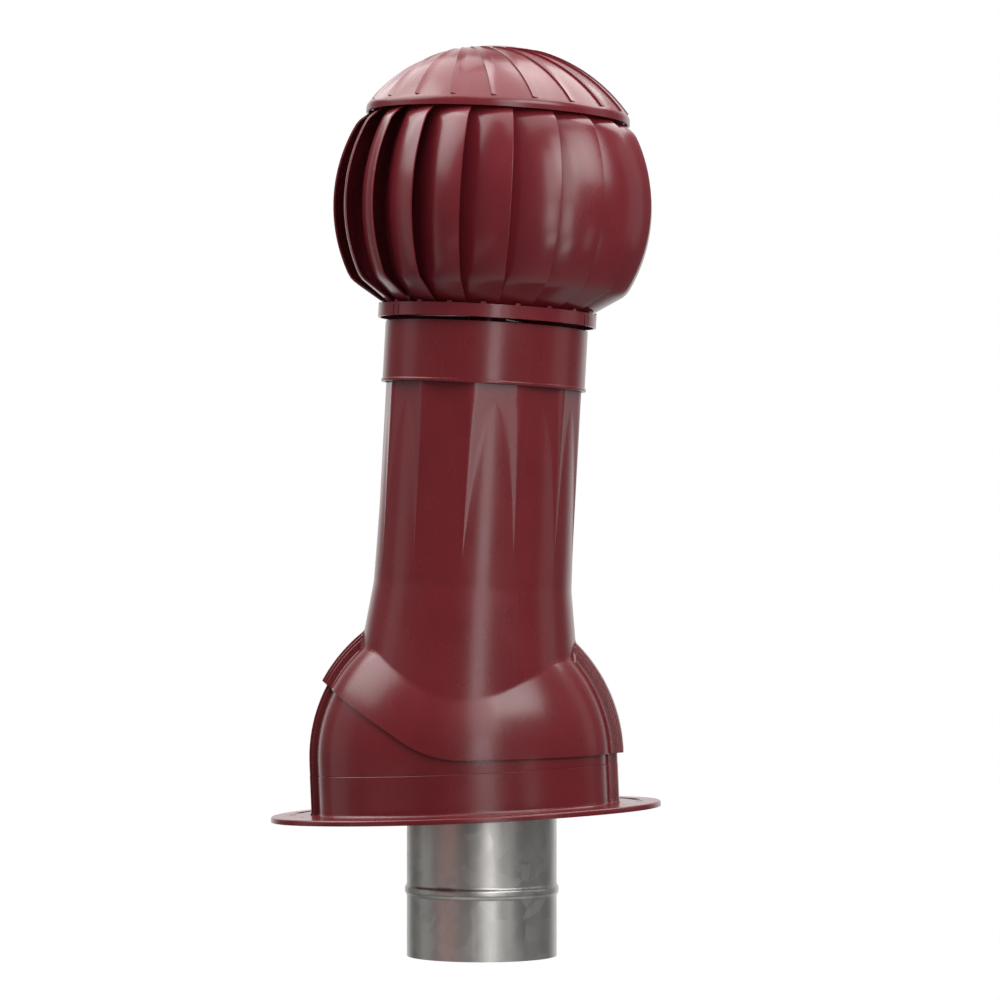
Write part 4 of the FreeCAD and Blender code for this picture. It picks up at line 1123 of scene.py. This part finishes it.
def make_duct():
    """Galvanised tube with a round bead near its lower end and a turned-out rim inside the stack."""
    outer, inner, bead_rise, rim = 75.0, 74.2, 2.0, 82.0
    low, bead, rim_low, rim_high = -538.0, -471.5, 52.5, 53.7
    foot, crest = 5.2, 2.6
    tube = [
        (outer, low, 0.0), (outer, bead - foot, 1.6), (outer + bead_rise, bead - crest, 1.4),
        (outer + bead_rise, bead + crest, 1.4), (outer, bead + foot, 1.6), (outer, rim_low, 0.5),
        (rim, rim_low, 0.0), (rim, rim_high, 0.0), (inner, rim_high, 0.5), (inner, bead + foot, 1.6),
        (inner + bead_rise, bead + crest, 1.4), (inner + bead_rise, bead - crest, 1.4),
        (inner, bead - foot, 1.6), (inner, low, 0.0),
    ]
    return turned("galvanised_duct", DUCT, tube, 128)


# All new pieces

stack_piece = join_shapes("stack_and_hood", [make_hood(), make_stack()])
finish_piece(stack_piece, "stack", "hood_plastic", "stack_hood")
base_piece = join_shapes("base_and_flange", [make_base_shell(), make_flange()])
finish_piece(base_piece, "base", "hood_plastic", "base_flange")
make_blades()
finish_piece(make_cap(), "rotor", "rotor_plastic", "dome_cap", angle=24.0)
finish_piece(make_collar(), "stack", "hood_plastic", "neck_collar", angle=40.0)
finish_piece(eased_copy("rotor_lower_ring", 0.35), "rotor", "rotor_plastic", "rotor_lower_ring")
finish_piece(make_duct(), "stack", "galvanised", "duct", angle=50.0)

# World, lights and camera

VIEW = Matrix.Rotation(DUCT_LEAN, 4, "Y")
EYE_RISE = 0.200
DISTANCE = 4.093
AZIMUTH = math.radians(3.0)
# The lens in pixels of the photograph, and how far the pivot lies from the picture's middle
FOCAL_PIXELS, PIXELS_ASIDE, PIXELS_TILTED = 4080.0, 36.5, 57.0


def place_camera():
    """The photograph's view: a long lens, nearly level, from a little to one side."""
    data = bpy.data.cameras.new("view")
    data.sensor_width = 36.0
    data.lens = 146.9
    camera = bpy.data.objects.new("view", data)
    bpy.context.scene.collection.objects.link(camera)
    pixel = DISTANCE / FOCAL_PIXELS
    forward = Vector((-math.sin(AZIMUTH), math.cos(AZIMUTH), 0.0))
    side = Vector((math.cos(AZIMUTH), math.sin(AZIMUTH), 0.0))
    eye = side * (PIXELS_ASIDE * pixel) - forward * DISTANCE + Vector((0.0, 0.0, EYE_RISE))
    tilt = math.atan(PIXELS_TILTED / FOCAL_PIXELS)
    look = Matrix.Rotation(AZIMUTH, 4, "Z") @ Matrix.Rotation(math.pi / 2 + tilt, 4, "X")
    camera.matrix_world = Matrix.Translation(PIVOT) @ VIEW @ Matrix.Translation(eye) @ look
    bpy.context.scene.camera = camera


def add_light(name, azimuth, height, distance, size, power, aim=0.30, spread=180.0, colour=(1.0, 1.0, 1.0)):
    """A soft box, its azimuth in degrees to the right of the view, aimed at a height on the object."""
    data = bpy.data.lights.new(name, "AREA")
    data.shape = "RECTANGLE"
    data.size, data.size_y = size
    data.energy = power
    data.spread = math.radians(spread)
    data.color = colour
    light = bpy.data.objects.new(name, data)
    bpy.context.scene.collection.objects.link(light)
    turn = math.radians(azimuth) + AZIMUTH
    spot = Vector((math.sin(turn) * distance, -math.cos(turn) * distance, height))
    way = (Vector((0.0, 0.0, aim)) - spot).to_track_quat("-Z", "Y").to_matrix().to_4x4()
    light.matrix_world = Matrix.Translation(PIVOT) @ VIEW @ Matrix.Translation(spot) @ way


def make_world():
    """A bright back, a dim front, a half-bright floor and a white ground for the camera."""
    world = bpy.data.worlds.new("studio")
    bpy.context.scene.world = world
    world.use_nodes = True
    tree = world.node_tree
    ground = tree.nodes["Background"]
    place = tree.nodes.new("ShaderNodeTexCoord").outputs["Generated"]
    parts = tree.nodes.new("ShaderNodeSeparateXYZ")
    tree.links.new(place, parts.inputs["Vector"])
    back = remap(tree, parts.outputs["Y"], 0.70, 0.90, 0.12, 0.95)
    below = remap(tree, parts.outputs["Z"], -0.45, -0.95, 0.0, 0.55)
    around = combine(tree, "MAXIMUM", back, below)
    seen = tree.nodes.new("ShaderNodeLightPath").outputs["Is Camera Ray"]
    tree.links.new(combine(tree, "MAXIMUM", around, seen), ground.inputs["Strength"])
    ground.inputs["Color"].default_value = (1.0, 1.0, 1.0, 1.0)


bpy.context.scene.view_settings.view_transform = "Standard"
make_world()
add_light("key_strip", 11.0, 0.28, 2.4, (0.52, 0.74), 4.0)
add_light("key_upper", 13.0, 1.35, 2.3, (0.85, 1.30), 9.5)
add_light("duct_strip", 14.0, -0.44, 2.4, (0.50, 0.34), 2.0, aim=-0.15)
add_light("duct_left", -52.0, -0.44, 2.4, (1.50, 0.34), 1.1, aim=-0.15, colour=(1.0, 0.50, 0.47))
add_light("low_strip", 42.0, -0.28, 2.4, (0.36, 0.56), 0.7, aim=-0.05)
add_light("high_left", -92.0, 2.1, 1.8, (2.2, 2.2), 11.5, spread=80.0)
add_light("high_right", 38.0, 1.70, 2.0, (1.5, 1.3), 5.8, aim=0.45, spread=80.0)
add_light("left_box", -94.0, 0.5, 2.2, (0.8, 2.2), 2.0)
add_light("right_box", 94.0, 0.95, 2.2, (1.0, 2.0), 2.6)
add_light("top_box", 20.0, 2.4, 0.35, (2.0, 2.0), 22.0)
add_light("back_right", 128.0, 2.6, 1.5, (1.9, 1.9), 38.0, aim=0.60)
add_light("back_left", -138.0, 2.2, 1.5, (1.8, 1.8), 20.0, aim=0.60)
place_camera()
